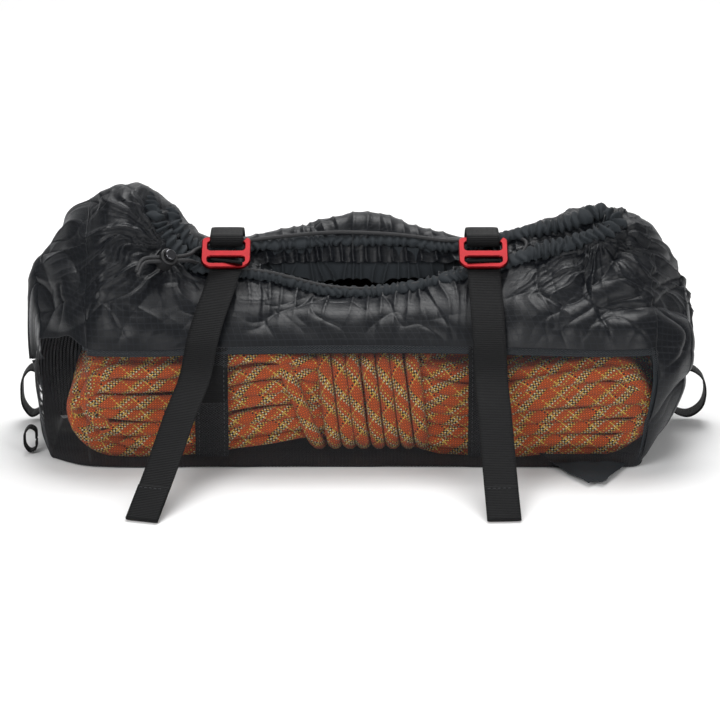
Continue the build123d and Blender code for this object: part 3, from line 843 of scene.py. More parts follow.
def flat_size(points):
    """Mean width and length of a grid, and its area."""
    across = np.linalg.norm(np.diff(points, axis=1), axis=-1).sum(1).mean()
    along = np.linalg.norm(np.diff(points, axis=0), axis=-1).sum(0).mean()
    a = points[1:, :-1] - points[:-1, :-1]
    b = points[:-1, 1:] - points[:-1, :-1]
    area = np.linalg.norm(np.cross(a, b), axis=-1).sum()
    return float(across), float(along), float(area)


def declare_sheet(points):
    """Works out the width, length and area of the sheet's cloth laid flat, and keeps none of them."""
    width, length, area = flat_size(points)


# metres: cloth on the ground, the wall of a single layer, and how far the caps of the ends run
CLOTH_FLOOR = 0.0024
FABRIC_WALL = 0.0006
CAP_RUN = 0.9999


def mouth_gap(x):
    """How open the mouth is at each x, from 0 to 1."""
    return np.clip(1 - (np.abs(x) / 0.080) ** 4, 0, 1)


def lip_w(x):
    """Outline place of the mouth's front lip and back lip."""
    gap = mouth_gap(x)
    return 5.20 - 0.24 * gap, 5.20 + 0.16 * gap


def cloth(s, w, extra=0.0, lift=0.0):
    """The bag's form with its folds raised along its normals, and lift more."""
    form = bpy.context.scene.rope_bag_form
    base = body_surface(s, w)
    run = run_from_form(s, w)
    x = np.clip(s[:1], -form.length / 2, form.length / 2)
    hem_run = run_from_form(x, w_at_height(x[0], form.hem)[None])
    rise = cloth_rise(base, run, looseness_at(s, run, hem_run)) + extra + lift
    points = base + normals_outward(base) * rise[..., None]
    points[..., 2] = np.maximum(points[..., 2], CLOTH_FLOOR - lift)
    return points


def run_from_form(s, w):
    """Length along the outline from the front of the base, the same for every sheet."""
    form = bpy.context.scene.rope_bag_form
    x = np.clip(s[0], -form.length / 2, form.length / 2)
    _, py, pz = dense_profile(x)
    length = np.concatenate([np.zeros((len(x), 1)), np.cumsum(np.hypot(np.diff(py), np.diff(pz)), 1)], 1)
    position = np.clip(w / 11 * (PROFILE_STEPS - 1), 0, PROFILE_STEPS - 1.001)
    low = position.astype(int)
    columns = np.broadcast_to(np.arange(s.shape[1]), w.shape)
    share = position - low
    return length[columns, low] * (1 - share) + length[columns, low + 1] * share


def normals_outward(points):
    """Normals of a body grid whose rows run from the front of the base over the top."""
    normal = normals_of(points)
    return -normal


def left_edge_height(s):
    """Lower edge of the left hood's cloth: level with the hem at the seam, then up a little, then down."""
    form = bpy.context.scene.rope_bag_form
    past = form.left_seam - s
    return form.hem + 0.006 * np.exp(-(((past - 0.014) / 0.010) ** 2)) - 0.010 * blend_in(past, 0.026, 0.060)


def spread(low, high, count):
    """Rows from low to high, where each is given for every column."""
    t = np.linspace(0, 1, count)[:, None]
    return low[None] * (1 - t) + high[None] * t


class ROPEBAG_OT_panels(bpy.types.Operator):
    """Makes the fabric panels: front, back, both hoods and the base"""

    bl_idname = "ropebag.panels"
    bl_label = "Fabric panels"

    def execute(self, context):
        """Runs the step."""
        form = context.scene.rope_bag_form
        fabric = ripstop_material()
        half = form.length / 2

        x = np.linspace(form.left_seam, form.right_seam, 470)
        hem = w_at_height(x, form.hem)
        front_lip, back_lip = lip_w(x)
        w = spread(hem, front_lip, 130)
        s = np.broadcast_to(x, w.shape)
        run = run_from_form(s, w)
        below = run[-1:] - run
        above = run - run[:1]
        settle = np.clip(above / 0.018, 0, 1) ** 0.8
        middle = np.clip(1 - (np.abs(s) / 0.125) ** 4, 0.25, 1)
        extra = mouth_gathers(s, below, 51, 0.0044, 0.026) * middle - 0.0012 * middle
        points = cloth(s, w, extra * settle)
        front = sheet_piece("front_cloth", points, plain_uv(points), "front_panel",
                            fabric, FABRIC_WALL)
        declare_sheet(points)

        w = spread(back_lip, np.full(len(x), 10.9), 300)
        run = run_from_form(s[:1].repeat(300, 0), w)
        s = np.broadcast_to(x, w.shape)
        down = run - run[:1]
        extra = mouth_gathers(s, down, 52, 0.0048, 0.034) * np.clip(1 - (np.abs(s) / 0.140) ** 4, 0.3, 1)
        points = cloth(s, w, extra)
        back = sheet_piece("back_cloth", points, plain_uv(points), "back_panel",
                           fabric, FABRIC_WALL)
        declare_sheet(points)

        s_line = np.concatenate([
            -half - CAP_REACH * (1 - np.linspace(0, 1, 70) ** 1.6) * CAP_RUN,
            np.linspace(-half, form.left_seam, 60)[1:],
        ])
        low = w_at_height(np.clip(s_line, -half, half), left_edge_height(s_line))
        w = spread(low, np.full(len(s_line), 11.0), 330)
        s = np.broadcast_to(s_line, w.shape)
        points = cloth(s, w)
        left = sheet_piece("left_hood_cloth", points, plain_uv(points), "left_end_hood",
                           fabric, FABRIC_WALL)
        declare_sheet(points)

        s_line = np.concatenate([
            np.linspace(form.right_seam, half, 50)[:-1],
            half + CAP_REACH * (np.linspace(0, 1, 70) ** 1.6) * CAP_RUN,
        ])
        w = spread(np.full(len(s_line), 0.05), np.full(len(s_line), 11.0), 380)
        s = np.broadcast_to(s_line, w.shape)
        points = cloth(s, w)
        right = sheet_piece("right_hood_cloth", points, plain_uv(points), "right_end_hood",
                            fabric, FABRIC_WALL)
        declare_sheet(points)
        self.base(form, fabric)
        return {"FINISHED"}

    def base(self, form, fabric):
        """The base: a flat sheet on the floor as wide as the outline's foot, faintly quilted by the rope."""
        half = form.length / 2
        cap = CAP_REACH * np.linspace(0, 1, 40)[1:] ** 0.7 * CAP_RUN
        s_line = np.concatenate([-half - cap[::-1], np.linspace(-half, half, 150), half + cap])
        y_knots, _ = outline_knots(np.clip(s_line, -half, half))
        y = spread(y_knots[:, 0], y_knots[:, -1], 60)
        s = np.broadcast_to(s_line, y.shape)
        z = 0.0008 + 0.0006 * (soft_noise(s / 0.03, y / 0.02, 61) + 1)
        flat = np.stack([np.clip(s, -half, half), y, z], -1)
        points = tucked(end_grown(flat, s, CAP_REACH))
        base = sheet_piece("base_cloth", points, plain_uv(points), "base_panel",
                           fabric, FABRIC_WALL)
        declare_sheet(points)


# ---------- mesh ----------
def bars(points, width, depth):
    """Thin bars along each column of points: three corners round each point, joined down the column."""
    along = np.gradient(points, axis=0)
    along /= np.maximum(np.linalg.norm(along, axis=-1, keepdims=True), 1e-9)
    out = normals_outward(points)
    side = np.cross(along, out)
    corners = [points + side * width / 2, points - side * width / 2, points + out * depth]
    return np.stack(corners, 2)


def bars_object(name, corners):
    """One mesh of all the bars in a list of (row, strand, corner, xyz) arrays."""
    verts, faces, start = [], [], 0
    for block in corners:
        rows, strands = block.shape[:2]
        index = start + np.arange(rows * strands * 3).reshape(rows, strands, 3)
        for a, b in ((0, 2), (2, 1), (1, 0)):
            quad = np.stack([index[:-1, :, a], index[1:, :, a], index[1:, :, b], index[:-1, :, b]], -1)
            faces.append(quad.reshape(-1, 4))
        verts.append(block.reshape(-1, 3))
        start += rows * strands * 3
    mesh = bpy.data.meshes.new(name)
    mesh.from_pydata(np.concatenate(verts), [], np.concatenate(faces).tolist())
    mesh.polygons.foreach_set("use_smooth", np.ones(len(mesh.polygons), bool))
    mesh.update()
    piece = bpy.data.objects.new(name, mesh)
    bpy.context.scene.collection.objects.link(piece)
    return piece


def mesh_cloth(name, s_low, s_high, top_of, node, material, spacing=0.0026):
    """A piece of open diamond mesh between the base and a height, over a stretch of the bag."""
    form = bpy.context.scene.rope_bag_form
    blocks = []
    clip_half = form.length / 2
    count = int((s_high - s_low) / spacing)
    middle = np.linspace(s_low, s_high, count)
    inside = np.clip(middle, -clip_half, clip_half)
    top = top_of(inside) if top_of else w_at_height(inside, left_edge_height(middle))
    rows = 86
    t = np.linspace(0.0, 1.0, rows)[:, None]
    zig = np.where(np.arange(rows) % 2 == 0, 0.5, -0.5)[:, None]
    for sign in (1.0, -1.0):
        s_line = middle
        w = t * top[None] + (1 - t) * 0.02
        s = np.broadcast_to(s_line, w.shape)
        base = body_surface(s, w)
        run = run_from_form(s, w)
        sag = soft_noise(s / 0.06, run / 0.04, 71) * 0.0014 + soft_noise(s / 0.02, run / 0.02, 72) * 0.0005
        edge = np.clip(np.minimum(run, run[-1:] - run) / 0.012, 0, 1)
        points = base + normals_outward(base) * ((sag - 0.0012) * edge)[..., None]
        along = np.gradient(points, axis=1)
        along /= np.maximum(np.linalg.norm(along, axis=-1, keepdims=True), 1e-9)
        points = points + along * (sign * zig * spacing)[..., None]
        blocks.append(bars(points, 0.00028, 0.00018))
    piece = bars_object(name, blocks)
    set_material(piece, material)
    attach(piece, "bag")
    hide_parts(node)
    return piece


class ROPEBAG_OT_window(bpy.types.Operator):
    """Knots the diamond mesh of the window and the left end"""

    bl_idname = "ropebag.window"
    bl_label = "Mesh window"

    def execute(self, context):
        """Runs the step."""
        form = context.scene.rope_bag_form
        strand = mesh_material()
        mesh_cloth("window_mesh", form.left_seam, form.right_seam,
                   lambda x: w_at_height(x, form.hem), "mesh_window", strand)
        mesh_cloth("left_end_mesh", -form.length / 2 - CAP_REACH * 0.98, form.left_seam,
                   None, "left_mesh_end", strand)
        return {"FINISHED"}


# ---------- webbing ----------
def smooth_line(knots, count):
    """Evenly spaced points on a smooth curve through the knots."""
    knots = np.asarray(knots, float)
    run = np.concatenate([[0], np.cumsum(np.linalg.norm(np.diff(knots, axis=0), axis=1))])
    dense = hermite(run, knots, np.linspace(0, run[-1], count * 6))
    length = np.concatenate([[0], np.cumsum(np.linalg.norm(np.diff(dense, axis=0), axis=1))])
    even = np.linspace(0, length[-1], count)
    return np.stack([np.interp(even, length, dense[:, k]) for k in range(dense.shape[1])], 1)


def strip_ring(width, thickness, columns=11):
    """Webbing's section, across and out: flat faces with softly rounded selvedges."""
    across = np.linspace(-1, 1, columns)
    puff = thickness / 2 * (1 - 0.40 * np.abs(across) ** 10)
    inset = width / 2 - 0.0003
    top = np.stack([across * inset, puff], 1)
    bottom = np.stack([across[::-1] * inset, -puff[::-1]], 1)
    return np.concatenate([top, [[width / 2, 0.0]], bottom, [[-width / 2, 0.0]]])


def ribbon(name, centre, side, width, thickness, material, body, nodes, out=0.0):
    """Webbing along a line: its section swept along the line, closed at both ends."""
    along = np.gradient(centre, axis=0)
    along /= np.linalg.norm(along, axis=1, keepdims=True)
    side = np.broadcast_to(side, centre.shape)
    side = side - along * (side * along).sum(1, keepdims=True)
    side = side / np.linalg.norm(side, axis=1, keepdims=True)
    up = np.cross(side, along)
    centre = centre + up * out
    pad = lambda rows: np.concatenate([rows[:1], rows, rows[-1:]])
    ends = np.ones(len(centre) + 2)
    ends[[0, -1]] = 0.0
    ring = strip_ring(width, thickness)
    swept = ring[:, :1, None] * pad(side)[None] + ring[:, 1:, None] * pad(up)[None]
    points = pad(centre)[None] + swept * ends[None, :, None]
    run = np.concatenate([[0], np.cumsum(np.linalg.norm(np.diff(pad(centre), axis=0), axis=1))])
    u = np.append(ring[:, 0], ring[0, 0]) + width / 2
    uv = np.stack(np.broadcast_arrays(u[:, None], run[None]), -1)
    piece = grid_object(name, points, uv, wrap_rows=True)
    weld = piece.modifiers.new("close_ends", "WELD")
    weld.merge_threshold = 1e-6
    set_material(piece, material)
    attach(piece, body)
    if nodes:
        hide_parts(*nodes)
    return piece


def front_at(x, height):
    """Y of the form's front at a height."""
    w = w_at_height(np.array([x]), height)
    return float(body_surface(np.array([[x]]), w[None])[0, 0, 1])


def top_at(x, y):
    """Height of the form's top over a place in Y."""
    _, py, pz = dense_profile(np.array([x]))
    upper = slice(PROFILE_STEPS // 3, int(PROFILE_STEPS * 0.78))
    return float(np.interp(y, py[0, upper], pz[0, upper]))


def stitches(name, line, out, body, length=0.0026, gap=0.0011, radius=0.00028):
    """Thread along a line: a short rounded bar for each stitch. out is the cloth's normal at each point."""
    run = np.concatenate([[0], np.cumsum(np.linalg.norm(np.diff(line, axis=0), axis=1))])
    starts = np.arange(0.0, run[-1] - length, length + gap)
    t = np.linspace(0, 1, 5)
    where = starts[None] + t[:, None] * length
    at = np.stack([np.interp(where, run, line[:, k]) for k in range(3)], -1)
    normal = np.stack([np.interp(where, run, out[:, k]) for k in range(3)], -1)
    ahead = at[-1:] - at[:1]
    ahead /= np.maximum(np.linalg.norm(ahead, axis=-1, keepdims=True), 1e-9)
    side = np.cross(ahead, normal)
    swell = radius * np.sin(np.clip(t * 0.9 + 0.05, 0, 1) * math.pi) ** 0.4
    swell[[0, -1]] = 0.0
    turn = np.linspace(0, 2 * math.pi, 6, endpoint=False)
    sunk = -radius * 1.2 * (2 * t - 1) ** 4
    rings = at[None] + (normal * sunk[:, None, None])[None]
    rings = rings + (np.cos(turn)[:, None, None, None] * side[None] +
                     np.sin(turn)[:, None, None, None] * normal[None]) * swell[None, :, None, None]
    rows, count = len(turn), len(starts)
    index = np.arange(rows * len(t) * count).reshape(rows, len(t), count)
    index = np.concatenate([index, index[:1]])
    quads = np.stack([index[:-1, :-1], index[:-1, 1:], index[1:, 1:], index[1:, :-1]], -1)
    mesh = bpy.data.meshes.new(name)
    mesh.from_pydata(rings.reshape(-1, 3), [], quads.reshape(-1, 4).tolist())
    mesh.polygons.foreach_set("use_smooth", np.ones(len(mesh.polygons), bool))
    mesh.update()
    piece = bpy.data.objects.new(name, mesh)
    bpy.context.scene.collection.objects.link(piece)
    weld = piece.modifiers.new("close_ends", "WELD")
    weld.merge_threshold = 1e-6
    set_material(piece, thread_material())
    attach(piece, body)
    return piece


def thread_material():
    """Black bonded thread."""
    existing = bpy.data.materials.get("thread")
    if existing:
        return existing
    s = Shader("thread")
    place, _ = s.object_place()
    grain = s.noise(place, 2200.0, 2.0)
    s.set(Base_Color=s.mix(grain, (0.014, 0.015, 0.017), (0.045, 0.048, 0.054)))
    s.set(Roughness=grain * 0.2 + 0.38)
    return s.material


# the tilt of a hook's plate in degrees, and the radius at which webbing turns round its bars in metres
HOOK_TILT = 28.54
WEBBING_WALL = 0.0016
TURN_RADIUS = 0.0041


def middle_of(node):
    """Middle of a CAD piece's box."""
    low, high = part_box(node)
    return (np.array(low) + np.array(high)) / 2


class ROPEBAG_OT_straps(bpy.types.Operator):
    """Weaves the straps: front anchors, top straps, the two tails with folded ends, and the loops"""

    bl_idname = "ropebag.straps"
    bl_label = "Webbing"

    def execute(self, context):
        """Runs the step."""
        web = webbing_material()
        for side, x, yaw in (("left", STRAP_LEFT, 18.0), ("right", STRAP_RIGHT, -3.5)):
            self.anchor(side, x - (0.0095 if side == "left" else 0.0), web)
            self.top(side, x, web)
            self.tail(side, x, math.radians(yaw), web)
        low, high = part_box("left_haul_loop")
        self.loop("left_haul_loop", "left_haul", high[0], -1.0, web)
        low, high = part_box("right_haul_loop")
        self.loop("right_haul_loop", "right_haul", low[0] - 0.013, 1.0, web)
        low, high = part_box("left_corner_loop")
        self.loop("left_corner_loop", "left_corner", high[0], -1.0, web)
        return {"FINISHED"}

    def bars(self, side):
        """The hook's two bars, in Y and Z, from the tilt of its plate."""
        centre = middle_of(f"{side}_hook")
        slope = math.radians(HOOK_TILT)
        offset = 0.014 * np.array([0.0, math.cos(slope), math.sin(slope)])
        return centre + offset, centre - offset

    def anchor(self, side, x, web):
        """The strap sewn up the front, from near the floor over the hem to the shoulder."""
        w = np.linspace(w_at_height(np.array([x]), 0.010)[0], 4.35, 90)
        s = x + np.array([-1.0, 0.0, 1.0]) * STRAP_WIDTH / 2
        grid = cloth(np.broadcast_to(s, (90, 3)), np.broadcast_to(w[:, None], (90, 3)), 0.0, 0.0019)
        centre = np.stack([np.full(90, x), grid[:, 1, 1], grid[:, 1, 2]], 1)
        centre[:, 1] = np.minimum(centre[:, 1], np.minimum(grid[:, 0, 1], grid[:, 2, 1]))
        ribbon(f"{side}_anchor_webbing", centre, np.array([-1.0, 0, 0]), STRAP_WIDTH, WEBBING_WALL, web,
               "bag",
               [f"{side}_front_strap"])
        for edge in (-0.0095, 0.0095):
            line = centre + np.array([edge, 0, 0])
            out = np.broadcast_to([0.0, -1.0, 0.15], line.shape)
            stitches(f"{side}_anchor_thread_{'a' if edge < 0 else 'b'}", line + out * 0.0009, out, "bag")

    def top(self, side, x, web):
        """The strap from the hook's prong over the channel and the top, then down the back."""
        prong, _ = self.bars(side)
        turn = np.radians(np.linspace(325, 95, 26))
        wrap = np.stack([
            np.full(26, x),
            prong[1] + TURN_RADIUS * np.cos(turn),
            prong[2] + TURN_RADIUS * np.sin(turn),
        ], 1)
        crest_lifts = ((0.020, 0.0092), (0.038, 0.0058), (0.052, 0.0042))
        crest = [(x, y, top_at(x, y) + lift) for y, lift in crest_lifts]
        w = np.linspace(7.35, 10.1, 60)
        s = np.full((60, 1), x).repeat(3, 1) + [[-0.001, 0, 0.001]]
        down = cloth(s, w[:, None].repeat(3, 1), 0.0, 0.0024)
        knots = np.concatenate([wrap[-1:], crest, down[::8, 1]])
        rest = smooth_line(knots, 120)
        centre = np.concatenate([wrap[:-1], rest])
        ribbon(f"{side}_top_webbing", centre, np.array([1.0, 0, 0]), STRAP_WIDTH, WEBBING_WALL, web, "bag",
               [f"{side}_top_strap"])

    def tail(self, side, x, yaw, web):
        """The loose tail: round the hook's lower bar, over the belly and down to the floor in front."""
        _, bar = self.bars(side)
        back = np.array([math.sin(yaw), math.cos(yaw), 0.0])
        floor_run = -(0.200 + bar[1]) / math.cos(yaw)

        def ahead(height):
            """How far out the belly is at a height."""
            place = bar[0] - 0.060 * math.sin(yaw)
            return (front_at(place, height) - bar[1]) / math.cos(yaw) - 0.0082

        def over(run):
            """Height just over the top at a run back."""
            return top_at(bar[0] + run * math.sin(yaw), bar[1] + run * math.cos(yaw)) + 0.0085

        turn = np.radians(np.linspace(75, -112, 26))
        wrap = np.stack([TURN_RADIUS * np.cos(turn), bar[2] + TURN_RADIUS * np.sin(turn)], 1)
        leave = ahead(0.078) - 0.001
        knots = [
            tuple(wrap[-1]),
            (-0.016, over(-0.016) - 0.0010),
            (-0.036, over(-0.036)),
            (ahead(0.100), 0.100),
            (leave, 0.078),
            (0.70 * leave + 0.30 * floor_run, 0.0560),
            (0.35 * leave + 0.65 * floor_run, 0.0270),
            (floor_run, 0.0012),
        ]
        flat = np.concatenate([wrap[:-1], smooth_line(knots, 170)])
        lift = np.array([0.0, 0.0, 1.0])
        centre = np.array([bar[0], bar[1], 0.0]) + flat[:, :1] * back + flat[:, 1:] * lift
        across = np.array([math.cos(yaw), -math.sin(yaw), 0.0])
        ribbon(f"{side}_tail_webbing", centre, -across, STRAP_WIDTH, WEBBING_WALL, web, f"{side}_tail_body",
               [f"{side}_strap_tail"])
        fold = centre[-24:]
        ribbon(f"{side}_tail_fold", fold, -across, STRAP_WIDTH - 0.0006, 0.0014, web, f"{side}_tail_body",
               [f"{side}_tail_hem"], out=0.0015)
        along = fold[-1] - fold[0]
        along = along / np.linalg.norm(along)
        out = np.cross(-across, along)
        start = centre[-22] + out * 0.0024
        line = start[None] + across[None] * np.linspace(-0.0105, 0.0105, 20)[:, None]
        stitches(f"{side}_tail_thread", line, np.broadcast_to(out, line.shape), f"{side}_tail_body")

    def loop(self, node, body, seam, way, web):
        """A short loop of webbing that stands off an end seam."""
        low, high = (np.array(corner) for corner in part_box(node))
        reach = abs((high[0] if way > 0 else low[0]) - seam) - 0.0008
        tall, wide = high[2] - low[2] - 0.0016, high[1] - low[1]
        shape = [(0.002, 0.06), (0.26, 0.40), (0.60, 0.50), (0.90, 0.33), (1.0, 0.0)]
        shape = [(a if a > 0.1 else a / reach, b) for a, b in shape]
        shape = shape + [(a, -b) for a, b in reversed(shape[:-1])]
        middle = (low + high) / 2
        knots = [(seam + way * a * reach, middle[1], middle[2] + b * tall) for a, b in shape]
        centre = smooth_line(knots, 70)
        ribbon(f"{node}_webbing", centre, np.array([0, way, 0.0]), wide, 0.0015, web, body, [node])


class ROPEBAG_OT_trim(bpy.types.Operator):
    """Sews the hem, the seam bindings, the gathered channel round the mouth and the bottom flap"""

    bl_idname = "ropebag.trim"
    bl_label = "Hem, bindings, channel and flap"

    def execute(self, context):
        """Runs the step."""
        form = context.scene.rope_bag_form
        fabric = bpy.data.materials["ripstop"]
        self.hem(form, fabric)
        self.binding("left_binding_cloth", form.left_seam, "left_seam_binding", fabric)
        self.binding("right_binding_cloth", form.right_seam, "right_seam_binding", fabric)
        self.channel(fabric)
        self.flap(fabric)
        return {"FINISHED"}

    def band(self, name, s, w, lift, node, material, thickness=0.0010):
        """A narrow strip of cloth that follows the panels, with its long edges turned in."""
        points = cloth(s, w, 0.0, lift)
        sheet_piece(name, points, plain_uv(points), node, material, thickness)
        return points

    def hem(self, form, fabric):
        """The doubled lower edge of the front, with two stitch lines."""
        x = np.linspace(form.left_seam, form.right_seam, 420)
        low, high = w_at_height(x, form.hem - 0.004), w_at_height(x, form.hem + 0.0046)
        w = spread(low, high, 14)
        curve = np.sin(np.linspace(0, math.pi, 14))[:, None] ** 0.5 * 0.0010 + 0.0004
        points = self.band("front_hem_cloth", np.broadcast_to(x, w.shape), w, curve, "front_hem", fabric)
        out = normals_outward(points)
        stitches("hem_thread_low", points[3] + out[3] * 0.0002, out[3], "bag")
        stitches("hem_thread_high", points[11] + out[11] * 0.0002, out[11], "bag")

    def binding(self, name, seam, node, fabric):
        """The bound seam at one end, above the hem on the left."""
        hem = bpy.context.scene.rope_bag_form.hem
        s = seam + np.linspace(-0.0030, 0.0030, 12)
        start = w_at_height(np.array([seam]), hem)[0] if seam < 0 else 0.03
        w = np.linspace(start, 5.2, 260)[:, None] * np.ones((1, 12))
        curve = np.sin(np.linspace(0, math.pi, 12))[None] ** 0.5 * 0.0013 + 0.0002
        points = self.band(name, np.broadcast_to(s, w.shape), w, curve, node, fabric, 0.0012)
        out = normals_outward(points)
        stitches(f"{name}_thread", points[:, 8] + out[:, 8] * 0.0002, out[:, 8], "bag")

    def channel(self, fabric):
        """The sewn channel round the mouth, gathered along the drawcord into tight ruffles."""
        front = [(-0.168, 0.020), (-0.163, 0.002), (-0.148, -0.012), (-0.127, -0.017), (-0.1035, -0.0185),
                 (-0.075, -0.018), (-0.022, -0.020), (0.026, -0.019), (0.070, -0.018), (0.103, -0.017),
                 (0.128, -0.013), (0.158, -0.012), (0.184, -0.008), (0.194, 0.002)]
        back = [(0.184, 0.011), (0.158, 0.008), (0.128, 0.010), (0.103, 0.012), (0.070, 0.0095),
                (0.024, 0.011), (-0.024, 0.0105), (-0.075, 0.009), (-0.1035, 0.007), (-0.127, 0.001), (-0.143, 0.004),
                (-0.152, 0.020)]
        knots = [(x, y, top_at(x, y) + (0.0026 if abs(x) < 0.13 else 0.0002)) for x, y in front + back]
        line = smooth_line(knots, 1700)
        run = np.concatenate([[0], np.cumsum(np.linalg.norm(np.diff(line, axis=0), axis=1))])
        along = np.gradient(line, axis=0)
        along /= np.linalg.norm(along, axis=1, keepdims=True)
        side = np.cross(along, np.array([0.0, -0.35, 0.94]))
        side /= np.linalg.norm(side, axis=1, keepdims=True)
        up = np.cross(side, along)
        angle = np.linspace(0, 2 * math.pi, 22, endpoint=False)[:, None]
        wander = soft_noise(run[None] / 0.011, angle * 0.6, 81) * 0.7
        bunched = blend_in(np.abs(line[:, 0]), 0.118, 0.140)[None]
        ruffle = np.abs(np.sin((run[None] / 0.0062 + wander) * math.pi)) ** 1.5
        uneven = 0.6 + 0.4 * scatter(np.floor(run[None] / 0.0062), 0.0, 6.0)
        spread_out = 0.0044 + (0.0034 + 0.0022 * bunched) * ruffle * uneven
        spread_out = spread_out + 0.0010 * soft_noise(run[None] / 0.02, angle * 0 + 4, 82)
        height = 0.0024 + (0.0013 + 0.0020 * bunched) * ruffle
        taper = np.clip(np.minimum(run, run[::-1]) / 0.004, 0.45, 1)[None]
        near_strap = 1 - 0.55 * np.exp(-((np.minimum(np.abs(line[:, 0] - STRAP_LEFT),
                                                     np.abs(line[:, 0] - STRAP_RIGHT)) / 0.014) ** 4))[None]
        a = (spread_out * taper)[..., None] * np.cos(angle)[..., None]
        b = (height * taper * near_strap)[..., None] * np.sin(angle)[..., None]
        points = line[None] + a * side[None] + b * up[None]
        uv = np.stack(np.broadcast_arrays(np.linspace(0, 0.03, 23)[:, None], run[None]), -1)
        piece = grid_object("mouth_channel_cloth", points, uv, wrap_rows=True)
        set_material(piece, fabric)
        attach(piece, "bag")
        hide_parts("drawcord_channel")
        self.frill(fabric)

    def frill(self, fabric):
        """The channel's loose inner edge: a gathered frill that hangs from the back lip into the mouth."""
        x = np.linspace(-0.094, 0.086, 700)
        t = np.linspace(0, 1, 34)[:, None]
        share = np.clip(1 - ((x + 0.004) / 0.092) ** 2, 0, 1) ** 0.7
        depth = (0.009 + 0.017 * share)[None]
        top = np.array([top_at(a, 0.0085) for a in x])[None]
        wander = soft_noise(x[None] / 0.014, t * 0.8, 85) * 0.9
        wave = pleat(x[None] / 0.0088 + wander) - 0.5
        y = 0.0085 - 0.010 * t * share[None] + wave * 0.0048 * t**0.6
        z = top + 0.0015 - depth * t * (1 + 0.10 * soft_noise(x[None] / 0.012, t * 0, 86))
        points = np.stack(np.broadcast_arrays(x[None], y, z), -1)
        sheet_piece("mouth_frill_cloth", points, plain_uv(points), "", fabric, FABRIC_WALL)

    def flap(self, fabric):
        """The small pointed flap that lies out in front of the base."""
        low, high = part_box("bottom_flap")
        t = np.linspace(0, 1, 60)[:, None]
        u = np.linspace(0, 1, 90)[None]
        tip = 0.172
        left = low[0] * (1 - t) + (tip - 0.005) * t
        right = high[0] * (1 - t) + (tip + 0.005) * t
        x = left * (1 - u) + right * u
        y = high[1] * (1 - t) + low[1] * t + 0.0 * u
        y = y + 0.004 * t * np.sin(u * math.pi) * t
        z = 0.0010 + 0.0016 * (1 + soft_noise(x / 0.018, y / 0.022, 91)) + 0.003 * (1 - t) ** 2
        z = z + 0.0008 * (1 + soft_noise(x / 0.007, y / 0.009, 92))
        points = np.stack([x, y, z], -1)
        piece = sheet_piece("bottom_flap_cloth", points, plain_uv(points), "", fabric, 0.0008)
        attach(piece, "flap")
        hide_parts("bottom_flap")


# ---------- stage ----------
class ROPEBAG_OT_stage(bpy.types.Operator):
    """Sets the pale floor, the soft lights and the camera"""

    bl_idname = "ropebag.stage"
    bl_label = "Stage"

    def execute(self, context):
        """Runs the step."""
        scene = context.scene
        across = np.linspace(-4, 4, 5)
        sweep = np.concatenate([
            np.stack([np.linspace(-4, 1.6, 12), np.zeros(12)], 1),
            np.stack([1.6 + 1.2 * np.sin(np.linspace(0.05, math.pi / 2, 24)),
                      1.2 - 1.2 * np.cos(np.linspace(0.05, math.pi / 2, 24))], 1),
            [[2.8, 5.0]],
        ])
        x, row = np.meshgrid(across, np.arange(len(sweep)))
        points = np.stack([x, sweep[row, 0], sweep[row, 1]], -1)
        floor = grid_object("floor", points)
        paper = Shader("pale_paper")
        place, _ = paper.object_place()
        grain = paper.noise(place, 40.0, 2.0)
        paper.set(Base_Color=paper.mix(grain, (0.90, 0.90, 0.90), (0.93, 0.93, 0.93)), Roughness=0.9)
        set_material(floor, paper.material)

        camera_data = bpy.data.cameras.new("camera")
        camera = bpy.data.objects.new("camera", camera_data)
        scene.collection.objects.link(camera)
        elevation = math.radians(17.0)
        distance = 2.6
        target = Vector((-0.0027, -0.040, 0.0735))
        camera.location = target + Vector((0, -math.cos(elevation), math.sin(elevation))) * distance
        camera.rotation_euler = (math.pi / 2 - elevation, 0, 0)
        camera_data.sensor_width = 36.0
        camera_data.lens = 36.0 * distance / 0.547
        camera_data.clip_end = 20
        scene.camera = camera

        world = bpy.data.worlds.new("world")
        world.use_nodes = True
        world.node_tree.nodes["Background"].inputs[0].default_value = (1, 1, 1, 1)
        world.node_tree.nodes["Background"].inputs[1].default_value = 0.24
        scene.world = world
        scene.view_settings.view_transform = "Standard"
        self.lamp("key", (-0.8, -1.5, 1.2), 1.1, 19.0)
        self.lamp("fill", (1.0, -1.6, 0.7), 1.1, 12.0)
        self.lamp("top", (0.1, 0.5, 1.5), 1.1, 17.0)
        self.lamp("backdrop", (0.0, 0.9, 1.9), 1.6, 26.0, (0.0, 2.6, 0.5))
        return {"FINISHED"}

    def lamp(self, name, place, size, power, aim=(0.0, 0.0, 0.08)):
        """A round soft light that faces its aim."""
        data = bpy.data.lights.new(name, "AREA")
        data.shape = "DISK"
        data.size = size
        data.energy = power
        lamp = bpy.data.objects.new(name, data)
        lamp.location = place
        lamp.rotation_euler = (Vector(aim) - lamp.location).to_track_quat("-Z", "Y").to_euler()
        bpy.context.scene.collection.objects.link(lamp)


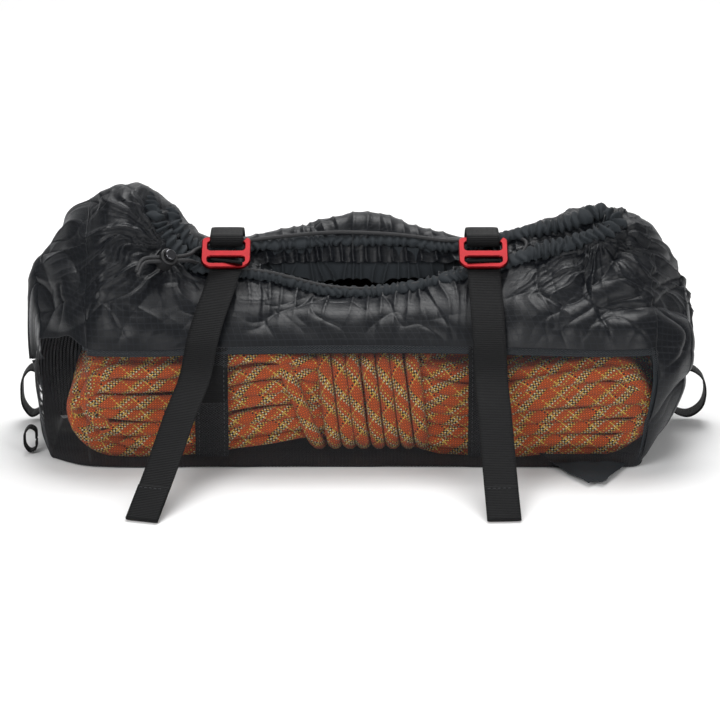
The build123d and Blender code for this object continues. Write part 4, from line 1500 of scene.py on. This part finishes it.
class ROPEBAG_OT_finishes(bpy.types.Operator):
    """Gives the hooks, cord lock, drawcord and other carried-over pieces their finishes"""

    bl_idname = "ropebag.finishes"
    bl_label = "Hardware finishes"

    def execute(self, context):
        """Runs the step."""
        nodes = frame["nodes"]
        finishes = {
            anodised_material(): ["left_hook", "right_hook"],
            plastic_material("lock_plastic", (0.012, 0.012, 0.013), 0.42): ["cord_lock_body"],
            metal_material("button_metal", (0.13, 0.13, 0.14), 0.16): ["cord_lock_button"],
            metal_material("spring_steel", (0.62, 0.62, 0.64), 0.25): ["cord_lock_spring"],
            cord_material(): ["drawcord"],
        }
        for material, names in finishes.items():
            for name in names:
                set_material(nodes[name], material)
        return {"FINISHED"}


class ROPEBAG_PT_panel(bpy.types.Panel):
    """Lists the steps that build the bag"""

    bl_idname = "ROPEBAG_PT_panel"
    bl_label = "Rope Bag"
    bl_space_type = "VIEW_3D"
    bl_region_type = "UI"
    bl_category = "Rope Bag"

    def draw(self, context):
        """One button for each step."""
        for step in STEPS:
            self.layout.operator(step.bl_idname)


STEPS = (
    ROPEBAG_OT_stage,
    ROPEBAG_OT_rope,
    ROPEBAG_OT_panels,
    ROPEBAG_OT_window,
    ROPEBAG_OT_straps,
    ROPEBAG_OT_trim,
    ROPEBAG_OT_finishes,
)
GROUPS = (RopeBagForm, RopeBagRope, RopeBagColours)
CLASSES = (*GROUPS, *STEPS, ROPEBAG_PT_panel)


def register():
    """Adds the classes and their settings."""
    for item in CLASSES:
        bpy.utils.register_class(item)
    bpy.types.Scene.rope_bag_form = bpy.props.PointerProperty(type=RopeBagForm)
    bpy.types.Scene.rope_bag_rope = bpy.props.PointerProperty(type=RopeBagRope)
    bpy.types.Scene.rope_bag_colours = bpy.props.PointerProperty(type=RopeBagColours)


def unregister():
    """Takes them away again."""
    for name in ("rope_bag_form", "rope_bag_rope", "rope_bag_colours"):
        delattr(bpy.types.Scene, name)
    for item in reversed(CLASSES):
        bpy.utils.unregister_class(item)


def main():
    """Builds the bag."""
    register()
    bpy.ops.ropebag.stage()
    bpy.ops.ropebag.rope()
    bpy.ops.ropebag.panels()
    bpy.ops.ropebag.window()
    bpy.ops.ropebag.straps()
    bpy.ops.ropebag.trim()
    bpy.ops.ropebag.finishes()


if __name__ == "__main__":
    main()
